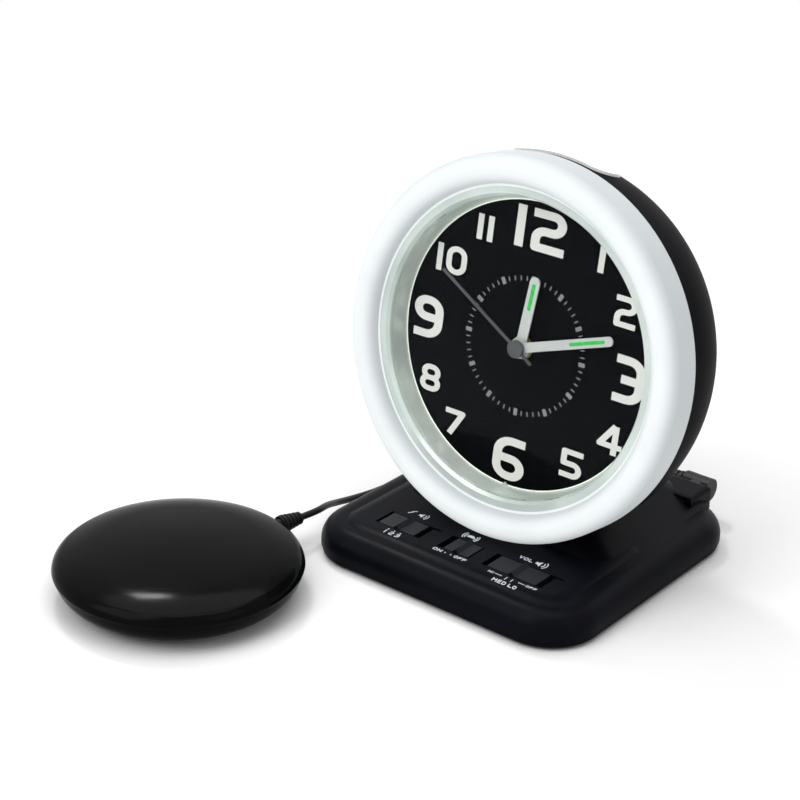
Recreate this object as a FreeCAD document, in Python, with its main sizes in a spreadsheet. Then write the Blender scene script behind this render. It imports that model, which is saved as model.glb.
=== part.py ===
import FreeCAD, Part
import Sketcher
import math
import os

# Bed shaker alarm clock: a round analog head with a light ring on a square base,
# a vibrating pad and the cord between them. Millimetres, +Z up, the front faces -Y,
# the origin is on the floor under the middle of the base.

os.makedirs("parts", exist_ok=True)
doc = FreeCAD.newDocument("BedShakerClock")
sheet = doc.addObject("Spreadsheet::Sheet", "Sizes")
Vector = FreeCAD.Vector


class Size:
    """A named size, or a sum of named sizes, with its sheet expression."""

    def __init__(self, value, text):
        self.value, self.text = value, text

    def _with(self, other, sign, value):
        return Size(value, "(%s %s %s)" % (self.text, sign, size_of(other).text))

    def __add__(self, other):
        return self._with(other, "+", self.value + size_of(other).value)

    def __sub__(self, other):
        return self._with(other, "-", self.value - size_of(other).value)

    def __mul__(self, other):
        return self._with(other, "*", self.value * size_of(other).value)

    def __truediv__(self, other):
        return self._with(other, "/", self.value / size_of(other).value)

    def __neg__(self):
        return Size(-self.value, "(0 - %s)" % self.text)

    def __rmul__(self, other):
        return self * other

    def __float__(self):
        return float(self.value)


def size_of(thing):
    return thing if isinstance(thing, Size) else Size(float(thing), repr(thing))


class Sizes:
    """The driving sizes by name; each one is a cell of the sheet."""


d = Sizes()
ROW = [0]


def cells():
    """Give every size that is written in capitals, and has no cell yet, its cell and its name in d."""
    for title, value in list(globals().items()):
        name = title.lower()
        if title != name.upper() or not isinstance(value, (int, float)) or hasattr(d, name) or title.startswith("_"):
            continue
        ROW[0] += 1
        sheet.set("A%d" % ROW[0], name)
        sheet.set("B%d" % ROW[0], str(value))
        sheet.setAlias("B%d" % ROW[0], name)
        setattr(d, name, Size(float(value), "Sizes." + name))


# Where the head stands
HEAD_TILT = 8.0
HEAD_BACK = 5.25
HEAD_HEIGHT = 83.1
OVERRUN = 40.0
FIT_GAP = 0.05
SLIDE_GAP = 0.1
cells()

# Light ring, bezel, lens, chapter ring and dial
RING_RADIUS = 70.0
RING_TUBE = 5.4
RING_WALL = 2.0
RING_PLANE = 9.6
SEAM_FRONT = 0.2
RING_FOOT_IN = 58.3
FOOT_SEAT = 0.4
BEZEL_OUT = 58.25
BEZEL_BORE = 57.05
BEZEL_LIP_IN = 54.9
BEZEL_FLANGE_IN = 55.8
BEZEL_FRONT = 9.5
LENS_SEAT = 6.5
LENS_THICK = 1.6
LENS_RADIUS = 55.5
BEZEL_RIM_OUT = 60.0
DIAL_RADIUS = 57.0
DIAL_THICK = 0.8
DIAL_VIEW = 53.2
CHAPTER_TOP_IN = 54.6
BOARD_IN = 60.2
BOARD_OUT = 66.8
LED_COUNT = 16
LED_SIDE = 3.0
LED_HIGH = 1.2
LED_CIRCLE = 64.4
NOTCH_HALF = 1.6
NOTCH_HIGH = 1.4
cells()

# Case, rear cover and what is fastened there
CASE_RADIUS = 69.4
CASE_WALL = 2.4
DECK_THICK = 2.2
DECK_HOLE = 6.0
DRUM_END = 4.0
CASE_BACK = 42.0
BOWL_END = 38.0
BOWL_RADIUS = 52.6
BACK_RADIUS = 50.4
COVER_RADIUS = 48.15
COVER_THICK = 2.0
COVER_LEDGE = 2.0
REAR_WALL = 1.8
BOWL_INNER = 50.2
BOSS_RADIUS = 4.0
BOSS_PLACE = 44.5
BOSS_LONG = 10.0
SCREW_SHANK = 1.2
SCREW_HEAD = 2.4
SCREW_HEAD_HIGH = 1.4
SCREW_LONG = 8.0
KNOB_RADIUS = 8.0
KNOB_LONG = 7.0
KNOB_BORE_DEEP = 5.0
KNOB_GAP = 0.5
FLUTE_COUNT = 18
FLUTE_RADIUS = 0.7
STEM_RADIUS = 0.8
STEM_BIG = 2.0
SPEAKER_RADIUS = 16.0
SPEAKER_PLACE = 24.0
SPEAKER_DEEP = 8.0
MAGNET_RADIUS = 8.0
MAGNET_DEEP = 4.0
GRILLE_HOLE = 1.1
GRILLE_STEP = 4.4
SPEAKER_LUG = 1.5
cells()

# Battery in the head
CELL_RADIUS = 7.0
CELL_LONG = 50.0
CELL_NUB = 2.6
CELL_NUB_LONG = 1.0
BOX_WALL = 1.5
BOX_CLEAR = 0.5
CONTACT_THICK = 0.8
BATTERY_LOW = 25.0
DOOR_THICK = 1.6
DOOR_AXIS_RADIUS = 0.8
DOOR_PIN = 0.5
DOOR_PIN_LONG = 1.2
DOOR_GAP = 0.25
DOOR_MARGIN = 1.2
cells()

# Snooze and light button on top of the drum
BUTTON_HALF = 21.0
BUTTON_FRONT = 3.4
BUTTON_DEEP = 15.0
BUTTON_ROUND = 7.0
BUTTON_PROUD = 0.9
LIP_FRONT = 4.6
CAP_FLOOR = 59.0
BUTTON_SHELL = 2.6
BUTTON_GAP = 0.35
LIP_THICK = 1.6
LIP_WIDE = 1.5
LIP_GAP = 0.3
POST_RADIUS = 3.0
SHELF_TOP = 54.0
SHELF_THICK = 2.0
SHELF_HALF = 9.0
TACT_HALF = 3.5
TACT_HIGH = 3.4
PLUNGER_RADIUS = 1.5
PLUNGER_UP = 1.2
PLUNGER_LOW = 1.5
BUTTON_TRAVEL = 1.0
cells()

# Hands
ALARM_PLANE = 0.9
HOUR_PLANE = 2.3
MINUTE_PLANE = 3.6
SECOND_PLANE = 4.9
HAND_THICK = 0.5
ALARM_HUB = 4.3
HOUR_HUB = 3.9
MINUTE_HUB = 3.6
SECOND_HUB = 3.2
SECOND_CAP = 0.8
HOUR_REACH = 26.8
MINUTE_REACH = 40.2
SECOND_REACH = 41.3
SECOND_TAIL = 8.1
ALARM_REACH = 21.0
HOUR_WIDTH = 4.2
MINUTE_WIDTH = 3.5
SECOND_WIDTH = 1.1
ALARM_WIDTH = 1.8
HOUR_ANGLE = 5.92
MINUTE_ANGLE = 71.0
SECOND_ANGLE = 300.0
ALARM_ANGLE = 71.0
SECOND_SHAFT = 0.5
MINUTE_TUBE = 1.0
HOUR_TUBE = 1.6
ALARM_TUBE = 2.3
BUSHING_OUT = 3.4
BUSHING_UP = 0.3
cells()

# Movement
MOVEMENT_HALF = 26.0
PLATE_THICK = 2.0
MOVEMENT_DEEP = 12.0
MOVEMENT_WALL = 1.5
CORNER_POST = 2.2
POST_PLACE = 23.0
MOVEMENT_SCREW = 0.9
MOVEMENT_SCREW_HEAD = 1.8
MOVEMENT_SCREW_HIGH = 1.2
PIVOT_RADIUS = 0.4
PIVOT_DEEP = 0.8
STUD_RADIUS = 0.5
TOOTH_MODULE = 0.3
FINE_MODULE = 0.25
CENTRE_DISTANCE_THIRD = 8.5
WHEEL_THICK = 0.6
THICK_WHEEL = 0.8
ROTOR_RADIUS = 2.8
ROTOR_LONG = 2.6
STATOR_GAP = 0.4
STATOR_THICK = 0.8
STATOR_HALF = 12.0
STATOR_ARM = 2.3
COIL_RADIUS = 2.6
COIL_LONG = 15.0
COIL_CORE = 1.0
COIL_PLACE = 20.9
cells()

# Base
BASE_WIDE = 119.0
BASE_LONG = 118.5
BASE_ROUND = 20.6
BASE_TOP = 13.4
BASE_EDGE = 8.0
PLATE_LOW = 1.0
PLATE_TOP = 3.5
PLATE_INSET = 0.5
PLATE_EDGE = 0.8
SHELL_WALL = 2.4
CEILING = 11.2
CEILING_EDGE = 6.0
PLATEAU_HIGH = 14.6
PLATEAU_HALF = 53.5
PLATEAU_FRONT = 55.0
PLATEAU_BACK = 16.5
PLATEAU_ROUND = 15.5
PLATEAU_EDGE = 9.0
FOOT_RADIUS = 5.5
FOOT_HIGH = 2.0
FOOT_SIDE = 38.0
FOOT_ALONG = 38.0
BASE_SCREW_PLACE = 46.5
BASE_BOSS = 3.6
BASE_SCREW_LONG = 6.5
BASE_SCREW_HEAD = 2.6
BASE_HEAD_HIGH = 1.2
cells()

# Neck that carries the drum
NECK_LOW = 12.9
NECK_LOW_HALF = 50.0
NECK_LOW_FRONT = 18.0
NECK_LOW_BACK = 57.0
NECK_MID = 17.4
NECK_MID_HALF = 38.0
NECK_MID_FRONT = 12.0
NECK_MID_BACK = 53.0
NECK_HIGH = 23.5
NECK_HIGH_HALF = 25.0
NECK_HIGH_FRONT = 6.0
NECK_HIGH_BACK = 49.0
SADDLE_GAP = 0.05
NECK_SCREW_SIDE = 14.0
NECK_SCREW_DEEP = 26.0
NECK_BOSS = 4.6
NECK_SEAT = 73.0
NECK_SCREW_SHANK = 1.5
NECK_SCREW_HEAD = 2.8
NECK_HEAD_HIGH = 1.6
NECK_SCREW_TIP = 57.0
CASE_BOSS_END = 54.5
CASE_BOSS_RADIUS = 4.0
cells()

# Slide switches in the plateau
WINDOW_FRONT = 42.5
WINDOW_DEEP = 10.2
WINDOW_END_GAP = 0.4
CAP_SIDE_GAP = 0.6
CAP_TOP_DROP = 0.15
CAP_FLANGE_HIGH = 1.2
CAP_FLANGE_OUT = 1.2
CEILING_GAP = 0.1
RIDGE_WIDE = 3.2
RIDGE_HIGH = 1.3
HOOK_DEEP = 0.7
ALARM_WINDOW_LEFT = -36.5
ALARM_WINDOW_RIGHT = -16.3
ALARM_GAP_LEFT = 1.2
ALARM_GAP_RIGHT = 2.8
SHAKE_WINDOW_LEFT = -8.0
SHAKE_WINDOW_RIGHT = 6.4
SHAKE_GAP_LEFT = 2.6
SHAKE_GAP_RIGHT = 1.0
VOLUME_WINDOW_LEFT = 12.0
VOLUME_WINDOW_RIGHT = 38.0
VOLUME_GAP_LEFT = 2.2
VOLUME_GAP_RIGHT = 2.8
HOOK_LONG = 3.0
HOOK_WIDE = 1.2
SWITCH_WIDE = 6.0
SWITCH_HIGH = 3.2
SWITCH_WALL = 1.6
LEVER_WIDE = 2.0
LEVER_THICK = 1.6
LEVER_DIP = 2.0
cells()

# Main board and the jacks at the back of the base
BOARD_HALF = 42.0
BOARD_FRONT = 50.0
BOARD_BACK = 40.0
BOARD_LOW = 4.6
BOARD_THICK = 1.6
STAND_RADIUS = 2.5
STAND_SIDE = 38.0
STAND_FRONT = 44.0
STAND_BACK = 34.0
JACK_SIDE = 37.2
JACK_HEIGHT = 12.5
JACK_WIDE = 11.0
JACK_LONG = 13.0
JACK_HIGH = 9.0
JACK_BLOCK_HALF = 8.6
JACK_BLOCK_HIGH = 18.2
JACK_BLOCK_BACK = 58.6
JACK_BLOCK_FRONT = 44.0
JACK_BLOCK_EDGE = 2.0
JACK_WALL = 1.8
JACK_CLEAR = 0.4
SLEEVE_RADIUS = 2.4
SLEEVE_LONG = 9.0
INLET_SIDE = -30.0
INLET_HEIGHT = 7.0
INLET_WIDE = 9.0
INLET_HIGH = 4.4
INLET_LONG = 11.0
INLET_HOLE = 1.9
INLET_PIN = 0.65
INLET_MOUTH = 2.5
INLET_DEEP = 9.0
INLET_INSET = 1.8
cells()

# Shaker pad
PAD_X = -73.0
PAD_Y = -108.0
PAD_RADIUS = 45.0
PAD_HIGH = 20.0
PAD_EQUATOR = 11.2
PAD_SEAM = 10.2
PAD_SHELL = 2.4
PAD_CROWN = 30.0
PAD_CROWN_DROP = 1.85
PAD_SHOULDER = 42.0
PAD_SHOULDER_DROP = 4.95
PAD_FOOT = 27.0
PAD_LOW_MID = 39.5
PAD_LOW_MID_UP = 3.1
PAD_SEAM_RADIUS = 44.75
SEAM_GAP = 0.3
MOTOR_RADIUS = 4.8
MOTOR_LONG = 20.0
MOTOR_SHAFT = 1.0
MOTOR_SHAFT_LONG = 9.0
MOTOR_HEIGHT = 7.6
WEIGHT_RADIUS = 4.6
WEIGHT_LONG = 6.0
WEIGHT_HUB = 1.8
CLIP_THICK = 2.2
CLIP_WIDE = 16.0
PAD_BOSS = 3.2
PAD_SCREW_CIRCLE = 25.0
PAD_BOSS_GAP = 0.9
PAD_SCREW_LONG = 7.0
PAD_SCREW_HEAD = 2.2
PAD_SCREW_HEAD_HIGH = 1.2
cells()

# Cord, its strain relief, its coil and its right-angle plug
CORD_THICK = 2.6
CLIMB_ROOM = 0.5
GAUGE_STEP = 0.5
RELIEF_LONG = 9.7
RELIEF_ROOT = 3.3
RELIEF_TIP = 1.9
RELIEF_TURN = 79.5
RELIEF_RIB = 0.35
RELIEF_RIBS = 5
LOOP_PITCH = 3.1
LOOP_INNER = 8.3
COIL_X = -22.0
COIL_Y = 97.0
PLUG_BODY = 4.6
PLUG_BODY_LONG = 11.4
PLUG_BODY_LEFT = 30.8
PLUG_BACK = 65.2
PLUG_NECK = 4.1
PLUG_FRONT_GAP = 0.3
BOOT_LONG = 11.0
BOOT_ROOT = 3.5
BOOT_TIP = 2.0
BOOT_RIBS = 5
BOOT_RIB = 0.45
PLUG_CAP_EDGE = 1.2
CORD_FLOOR = 1.3
cells()
LOOPS_IN_A_LAYER = 4

doc.recompute()


# Helpers: frames, sketches and features

def place(obj, x=0, y=0, z=0, axis=Vector(1, 0, 0), turn=0):
    turn = size_of(turn)
    spot = Vector(float(size_of(x)), float(size_of(y)), float(size_of(z)))
    obj.Placement = FreeCAD.Placement(spot, FreeCAD.Rotation(axis, float(turn)))
    for letter, value in (("x", x), ("y", y), ("z", z)):
        if isinstance(value, Size):
            obj.setExpression(".Placement.Base." + letter, value.text)
    return obj


def on_head(obj):
    """Head frame: X to the right, Y up in the dial, Z out of the dial's face."""
    return place(obj, 0, -d.head_back, d.head_height, turn=90 - float(d.head_tilt))


def head_point(x, y, z):
    frame = FreeCAD.Placement(Vector(0, -float(d.head_back), float(d.head_height)),
                              FreeCAD.Rotation(Vector(1, 0, 0), 90 - float(d.head_tilt)))
    return frame.multVec(Vector(float(x), float(y), float(z)))


def new_body(label):
    return doc.addObject("PartDesign::Body", label)


def new_sketch(body, role, offset=None):
    sketch = body.newObject("Sketcher::SketchObject", body.Name + "_sketch")
    flat = [f for f in body.Origin.OriginFeatures if f.Role == role][0]
    sketch.AttachmentSupport = (flat, [""])
    sketch.MapMode = "FlatFace"
    if offset is not None:
        offset = size_of(offset)
        sketch.AttachmentOffset = FreeCAD.Placement(Vector(0, 0, float(offset)), FreeCAD.Rotation())
        sketch.setExpression(".AttachmentOffset.Base.z", offset.text)
    return sketch


def pins(index, spot, point):
    """The constraints that hold one point of a sketch at a place given in sizes."""
    found = []
    for axis, kind, value in ((-2, "DistanceX", point[0]), (-1, "DistanceY", point[1])):
        value = size_of(value)
        if abs(float(value)) < 1e-9:
            found.append((Sketcher.Constraint("PointOnObject", index, spot, axis), None))
        elif float(value) > 0:
            found.append((Sketcher.Constraint(kind, -1, 1, index, spot, float(value)), value))
        else:
            found.append((Sketcher.Constraint(kind, index, spot, -1, 1, -float(value)), -value))
    return found


def hold(sketch, found):
    first = sketch.ConstraintCount
    sketch.addConstraint([f[0] for f in found])
    for step, (_, value) in enumerate(found):
        if value is not None:
            sketch.setExpression("Constraints[%d]" % (first + step), value.text)


def arc_between(start, end, radius, left):
    """A minor arc that bulges to the right of travel, or to its left."""
    middle, chord = (start + end) * 0.5, end - start
    rise = math.sqrt(max(radius ** 2 - (chord.Length / 2) ** 2, 0))
    normal = Vector(-chord.y, chord.x, 0) / chord.Length
    centre = middle - normal * rise if left else middle + normal * rise
    first = math.atan2(start.y - centre.y, start.x - centre.x)
    last = math.atan2(end.y - centre.y, end.x - centre.x)
    circle = Part.Circle(centre, Vector(0, 0, 1), radius)
    return Part.ArcOfCircle(circle, last, first) if left else Part.ArcOfCircle(circle, first, last)


def outline(sketch, points):
    """A closed outline: (x, y) starts a line, (x, y, radius) an arc, negative when it bulges left."""
    spots = [Vector(float(size_of(p[0])), float(size_of(p[1])), 0) for p in points]
    shapes, ends, found = [], [], []
    for i, point in enumerate(points):
        here, there = spots[i], spots[(i + 1) % len(points)]
        if len(point) == 2:
            shapes.append(Part.LineSegment(here, there))
            ends.append((1, 2))
        else:
            left = float(point[2]) < 0
            shapes.append(arc_between(here, there, abs(float(point[2])), left))
            ends.append((2, 1) if left else (1, 2))
    base = sketch.GeometryCount
    sketch.addGeometry(shapes)
    for i, point in enumerate(points):
        after = (i + 1) % len(points)
        found.append((Sketcher.Constraint("Coincident", base + i, ends[i][1], base + after, ends[after][0]), None))
    for i, point in enumerate(points):
        found += pins(base + i, ends[i][0], point)
        if len(point) == 3:
            radius = -point[2] if float(point[2]) < 0 else point[2]
            found.append((Sketcher.Constraint("Radius", base + i, float(radius)), radius))
    hold(sketch, found)


def circle(sketch, x, y, radius):
    index = sketch.GeometryCount
    middle = Vector(float(size_of(x)), float(size_of(y)), 0)
    sketch.addGeometry([Part.Circle(middle, Vector(0, 0, 1), float(radius))])
    hold(sketch, pins(index, 3, (x, y)) + [(Sketcher.Constraint("Radius", index, float(radius)), radius)])


def revolve(body, points):
    sketch = new_sketch(body, "XZ_Plane")
    outline(sketch, points)
    turned = body.newObject("PartDesign::Revolution", body.Name + "_turn")
    turned.Profile = sketch
    turned.ReferenceAxis = (sketch, ["V_Axis"])
    turned.Angle = 360
    return body


def turned(label, points):
    """A body of revolution about its Z axis, from (radius, height) points."""
    return revolve(new_body(label), points)


def pad(body, draw, low, high, role="XY_Plane"):
    sketch = new_sketch(body, role, low)
    draw(sketch)
    raised = body.newObject("PartDesign::Pad", body.Name + "_pad")
    raised.Profile = sketch
    length = size_of(high) - size_of(low)
    raised.Length = float(length)
    raised.setExpression("Length", length.text)
    return raised


def box_points(left, right, low, high):
    return [(left, low), (right, low), (right, high), (left, high)]


def round_points(left, right, low, high, r):
    """A rectangle with rounded corners, counter-clockwise."""
    return [(left + r, low), (right - r, low, r), (right, low + r), (right, high - r, r),
            (right - r, high), (left + r, high, r), (left, high - r), (left, low + r, r)]


def plate(label, points, low, high, role="XY_Plane"):
    body = new_body(label)
    pad(body, lambda s: outline(s, points), low, high, role)
    return body


def disc(label, radius, low, high, x=0, y=0):
    body = new_body(label)
    pad(body, lambda s: circle(s, size_of(x), size_of(y), radius), low, high)
    return body


def soften(body, pick, radius):
    """Round the edges of the body's last feature that the pick function names."""
    doc.recompute()
    tip = body.Tip
    names = ["Edge%d" % (i + 1) for i, e in enumerate(tip.Shape.Edges) if pick(e)]
    softened = body.newObject("PartDesign::Fillet", body.Name + "_round")
    softened.Base = (tip, names)
    softened.Radius = float(radius)
    softened.setExpression("Radius", radius.text)
    body.Tip = softened
    return softened


def at_height(value):
    return lambda e: max(abs(v.Z - float(value)) for v in e.Vertexes) < 0.01 and \
        abs(e.CenterOfMass.z - float(value)) < 0.01


def cylinder(name, radius, height, x=0, y=0, z=0, axis=Vector(1, 0, 0), turn=0):
    solid = doc.addObject("Part::Cylinder", name)
    solid.setExpression("Radius", size_of(radius).text)
    solid.setExpression("Height", size_of(height).text)
    return place(solid, x, y, z, axis, turn)


def cone(name, low, high, height, x=0, y=0, z=0, axis=Vector(1, 0, 0), turn=0):
    solid = doc.addObject("Part::Cone", name)
    solid.setExpression("Radius1", size_of(low).text)
    solid.setExpression("Radius2", size_of(high).text)
    solid.setExpression("Height", size_of(height).text)
    return place(solid, x, y, z, axis, turn)


def block(name, left, right, front, back, low, high):
    solid = doc.addObject("Part::Box", name)
    for prop, value in (("Length", size_of(right) - left), ("Width", size_of(back) - front),
                        ("Height", size_of(high) - low)):
        solid.setExpression(prop, value.text)
    return place(solid, left, front, low)


def fuse(name, shapes):
    joined = doc.addObject("Part::MultiFuse", name)
    joined.Shapes = shapes
    return joined


def cut(name, base, tools):
    if len(tools) > 1:
        tools = [fuse(name + "_tools", tools)]
    carved = doc.addObject("Part::Cut", name)
    carved.Base, carved.Tool = base, tools[0]
    return carved


def common(name, one, two):
    shared = doc.addObject("Part::Common", name)
    shared.Base, shared.Tool = one, two
    return shared


def group(name, shapes):
    held = doc.addObject("Part::Compound", name)
    held.Links = shapes
    return held


NODES = []


def node(name, obj):
    obj.Label = name
    NODES.append((name, obj))
    return obj


# Ring, bezel, lens, chapter ring and dial (head frame, heights out of the dial)

tube_out = d.ring_tube
tube_in = d.ring_tube - d.ring_wall
tube_middle = d.ring_radius - tube_out
ring = turned("light_ring", [
    (d.ring_foot_in, d.foot_seat), (tube_middle - tube_in, d.foot_seat),
    (tube_middle - tube_in, d.ring_plane, -tube_in), (tube_middle, d.ring_plane + tube_in, -tube_in),
    (tube_middle + tube_in, d.ring_plane), (tube_middle + tube_in, d.seam_front),
    (d.ring_radius, d.seam_front), (d.ring_radius, d.ring_plane, tube_out),
    (tube_middle, d.ring_plane + tube_out, tube_out), (tube_middle - tube_out, d.ring_plane),
    (d.ring_foot_in, d.ring_plane)])
node("light_ring", on_head(ring))

lip_back = d.lens_seat + d.lens_thick + d.fit_gap
bezel = turned("bezel", [
    (d.bezel_bore, -d.dial_thick), (d.bezel_rim_out, -d.dial_thick), (d.bezel_rim_out, d.foot_seat),
    (d.bezel_out, d.foot_seat), (d.bezel_out, d.bezel_front), (d.bezel_flange_in, d.bezel_front),
    (d.bezel_lip_in, lip_back), (d.lens_radius + d.fit_gap, lip_back),
    (d.lens_radius + d.fit_gap, d.lens_seat), (d.bezel_bore, d.lens_seat)])
node("inner_bezel", on_head(bezel))

lens = disc("lens", d.lens_radius, d.lens_seat, d.lens_seat + d.lens_thick)
node("front_lens", on_head(lens))

chapter = turned("chapter", [
    (d.dial_view, 0), (d.dial_radius, 0), (d.dial_radius, d.lens_seat), (d.chapter_top_in, d.lens_seat)])
notch_root = d.dial_view + d.fit_gap
tab = plate("chapter_tab", [
    (-d.notch_half, -notch_root), (d.notch_half, -notch_root), (0, -notch_root + d.notch_high)],
    d.fit_gap, d.dial_thick)
node("chapter_ring", on_head(fuse("chapter_ring", [chapter, tab])))

dial_hole = d.bushing_out + d.fit_gap
dial = turned("dial_disc", [(dial_hole, -d.dial_thick), (d.dial_radius, -d.dial_thick),
                            (d.dial_radius, 0), (dial_hole, 0)])
node("dial", on_head(dial))

board_top = d.foot_seat
led_board = turned("led_board", [(d.board_in, -d.dial_thick), (d.board_out, -d.dial_thick),
                                 (d.board_out, board_top), (d.board_in, board_top)])
node("led_board", on_head(led_board))

leds = []
for step in range(int(float(d.led_count))):
    angle = math.radians(360.0 * (step + 0.5) / float(d.led_count))
    led = doc.addObject("Part::Box", "led_%d" % step)
    led.setExpression("Length", d.led_side.text)
    led.setExpression("Width", d.led_side.text)
    led.setExpression("Height", d.led_high.text)
    half = float(d.led_side) / 2
    x = float(d.led_circle) * math.cos(angle) - half * math.cos(angle) + half * math.sin(angle)
    y = float(d.led_circle) * math.sin(angle) - half * math.sin(angle) - half * math.cos(angle)
    led.Placement = FreeCAD.Placement(Vector(x, y, float(board_top)),
                                      FreeCAD.Rotation(Vector(0, 0, 1), math.degrees(angle)))
    leds.append(led)
node("leds", on_head(group("leds", leds)))


# Case: drum, bowl and deck in one shell, with the button's window and the bosses

def bend_through(run, rise):
    """Radius of an arc that leaves upright and ends a run inward and a rise away."""
    return (run * run + rise * rise) / (run * 2)


bowl_out_radius = bend_through(d.case_radius - d.bowl_radius, d.bowl_end - d.drum_end)
inner_radius = d.case_radius - d.case_wall
cover_seat = d.case_back - d.cover_thick
wall_front = cover_seat - d.rear_wall
bowl_in_radius = bend_through(inner_radius - d.bowl_inner, wall_front - d.drum_end)
deck_back = d.dial_thick + d.deck_thick
cover_bore = d.cover_radius + d.slide_gap
ledge_in = d.cover_radius - d.cover_ledge
case_profile = [
    (inner_radius, d.seam_front), (inner_radius, -d.dial_thick), (d.deck_hole, -d.dial_thick),
    (d.deck_hole, -deck_back), (inner_radius, -deck_back), (inner_radius, -d.drum_end, -bowl_in_radius),
    (d.bowl_inner, -wall_front), (ledge_in, -wall_front), (ledge_in, -cover_seat),
    (cover_bore, -cover_seat), (cover_bore, -d.case_back), (d.back_radius, -d.case_back),
    (d.bowl_radius, -d.bowl_end, bowl_out_radius), (d.case_radius, -d.drum_end),
    (d.case_radius, d.seam_front)]
case_core = turned("case_core", case_profile)

button_back = d.button_front + d.button_deep


def oval(half, front, back, corner):
    return round_points(-half, half, -back, -front, corner)


window = plate("button_window", oval(d.button_half + d.button_gap, d.button_front - d.button_gap,
                                     button_back + d.button_gap, d.button_round + d.button_gap),
               -(d.case_radius + d.overrun), -d.shelf_top - d.tact_high, "XZ_Plane")
shelf = block("button_shelf", -d.shelf_half, d.shelf_half, d.shelf_top - d.shelf_thick, d.shelf_top,
              -button_back, -d.dial_thick - d.deck_thick / 2)

neck_bosses, neck_holes = [], []
for side in (-1, 1):
    x = d.neck_screw_side * side
    neck_bosses.append(cylinder("case_neck_boss", d.case_boss_radius, d.case_radius - d.case_boss_end,
                                x, -d.case_radius, -d.neck_screw_deep, turn=-90))
    neck_holes.append(cylinder("case_neck_hole", d.neck_screw_shank + d.fit_gap,
                               d.neck_seat - d.neck_screw_tip + d.fit_gap,
                               x, -d.neck_seat, -d.neck_screw_deep, turn=-90))

case_outer = turned("case_outer", [
    (0, d.seam_front), (0, -d.case_back), (d.back_radius, -d.case_back),
    (d.bowl_radius, -d.bowl_end, bowl_out_radius), (d.case_radius, -d.drum_end), (d.case_radius, d.seam_front)])
inside_bosses = common("case_bosses_in", fuse("case_bosses", neck_bosses), case_outer)

cover_angles = (60.0, 180.0, 300.0)
cover_bosses, cover_holes, cover_screws, cover_clear = [], [], [], []
for angle in cover_angles:
    a = math.radians(angle)
    x, y = d.boss_place * math.cos(a), d.boss_place * math.sin(a)
    cover_bosses.append(cylinder("cover_boss", d.boss_radius, d.boss_long, x, y, -cover_seat))
    cover_holes.append(cylinder("cover_boss_hole", d.screw_shank + d.fit_gap, d.screw_long, x, y, -d.case_back))
    shank = cylinder("cover_screw_shank", d.screw_shank, d.screw_long - d.screw_head_high, x, y,
                     -d.case_back + d.screw_head_high / 2)
    head = cylinder("cover_screw_head", d.screw_head, d.screw_head_high, x, y,
                    -d.case_back - d.screw_head_high / 2)
    cover_screws.append(fuse("cover_screw", [shank, head]))
    cover_clear.append(cylinder("cover_counterbore", d.screw_head + d.slide_gap, d.screw_head_high,
                                x, y, -d.case_back - d.screw_head_high / 2))
    cover_clear.append(cylinder("cover_screw_way", d.screw_shank + d.fit_gap, d.overrun, x, y,
                                -d.case_back - d.overrun / 2))

movement_front = deck_back
movement_holes = []
for sx in (-1, 1):
    for sy in (-1, 1):
        movement_holes.append(cylinder("deck_screw_hole", d.movement_screw + d.fit_gap, d.deck_thick * 0.8,
                                       d.post_place * sx, d.post_place * sy, -deck_back))

case_cut = cut("case_cut", fuse("case_joined", [case_core, shelf, inside_bosses] + cover_bosses),
               [window] + neck_holes + cover_holes + movement_holes)
node("case_shell", on_head(case_cut))


# Rear cover with its knob holes, its grille, the battery's opening and its box

cell_half = d.cell_long / 2
box_half = cell_half + d.cell_nub_long + d.contact_thick * 2 + d.box_wall
box_top = d.cell_radius + d.box_clear + d.box_wall
door_half = box_half - d.door_margin
door_reach = box_top - d.door_margin
cover_disc = disc("cover_disc", d.cover_radius, -d.case_back, -cover_seat)
box_deep = d.cell_radius * 2 + d.box_clear * 2 + d.box_wall
box_outer = block("battery_box_out", -box_half, box_half, -d.battery_low - box_top, -d.battery_low + box_top,
                  -cover_seat, -cover_seat + box_deep)
box_inner = block("battery_box_in", -box_half + d.box_wall, box_half - d.box_wall,
                  -d.battery_low - box_top + d.box_wall, -d.battery_low + box_top - d.box_wall,
                  -d.case_back - d.overrun, -cover_seat + box_deep - d.box_wall)
door_window = block("battery_window", -door_half - d.door_gap, door_half + d.door_gap,
                    -d.battery_low - door_reach - d.door_gap, -d.battery_low + door_reach + d.door_gap,
                    -d.case_back - d.overrun, -d.case_back + d.door_thick + d.door_gap)
door_axis_y = -d.battery_low - door_reach + d.door_axis_radius
door_axis_z = -d.case_back + d.door_thick / 2
pin_holes = [cylinder("door_pin_hole", d.door_pin + d.fit_gap, (door_half + d.door_pin_long + d.slide_gap) * 2,
                      -door_half - d.door_pin_long - d.slide_gap, door_axis_y, door_axis_z,
                      Vector(0, 1, 0), 90)]

module = d.tooth_module
fine = d.fine_module
third_gear_module = d.centre_distance_third * 2 / 72
setting_x = module * (10 + 30) / 2 + module * (30 + 12) / 2
alarm_x = -module * 30
setting_y = Size(0.0, "0")
stem_holes = [cylinder("setting_stem_hole", d.stem_big + d.fit_gap, d.overrun, setting_x, 0, -d.case_back - d.overrun / 2),
              cylinder("alarm_stem_hole", d.stem_big + d.fit_gap, d.overrun, alarm_x, 0, -d.case_back - d.overrun / 2)]
grille = []
for row in (-1, 0, 1):
    for column in range(-2, 3):
        grille.append(cylinder("grille_hole", d.grille_hole, d.overrun, d.grille_step * column,
                               d.speaker_place + d.grille_step * row, -d.case_back - d.overrun / 2))
rear_cover = cut("rear_cover_cut", fuse("rear_cover_joined", [cover_disc, box_outer]),
                 [box_inner, door_window] + pin_holes + stem_holes + grille + cover_clear)
node("rear_cover", on_head(rear_cover))
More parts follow.
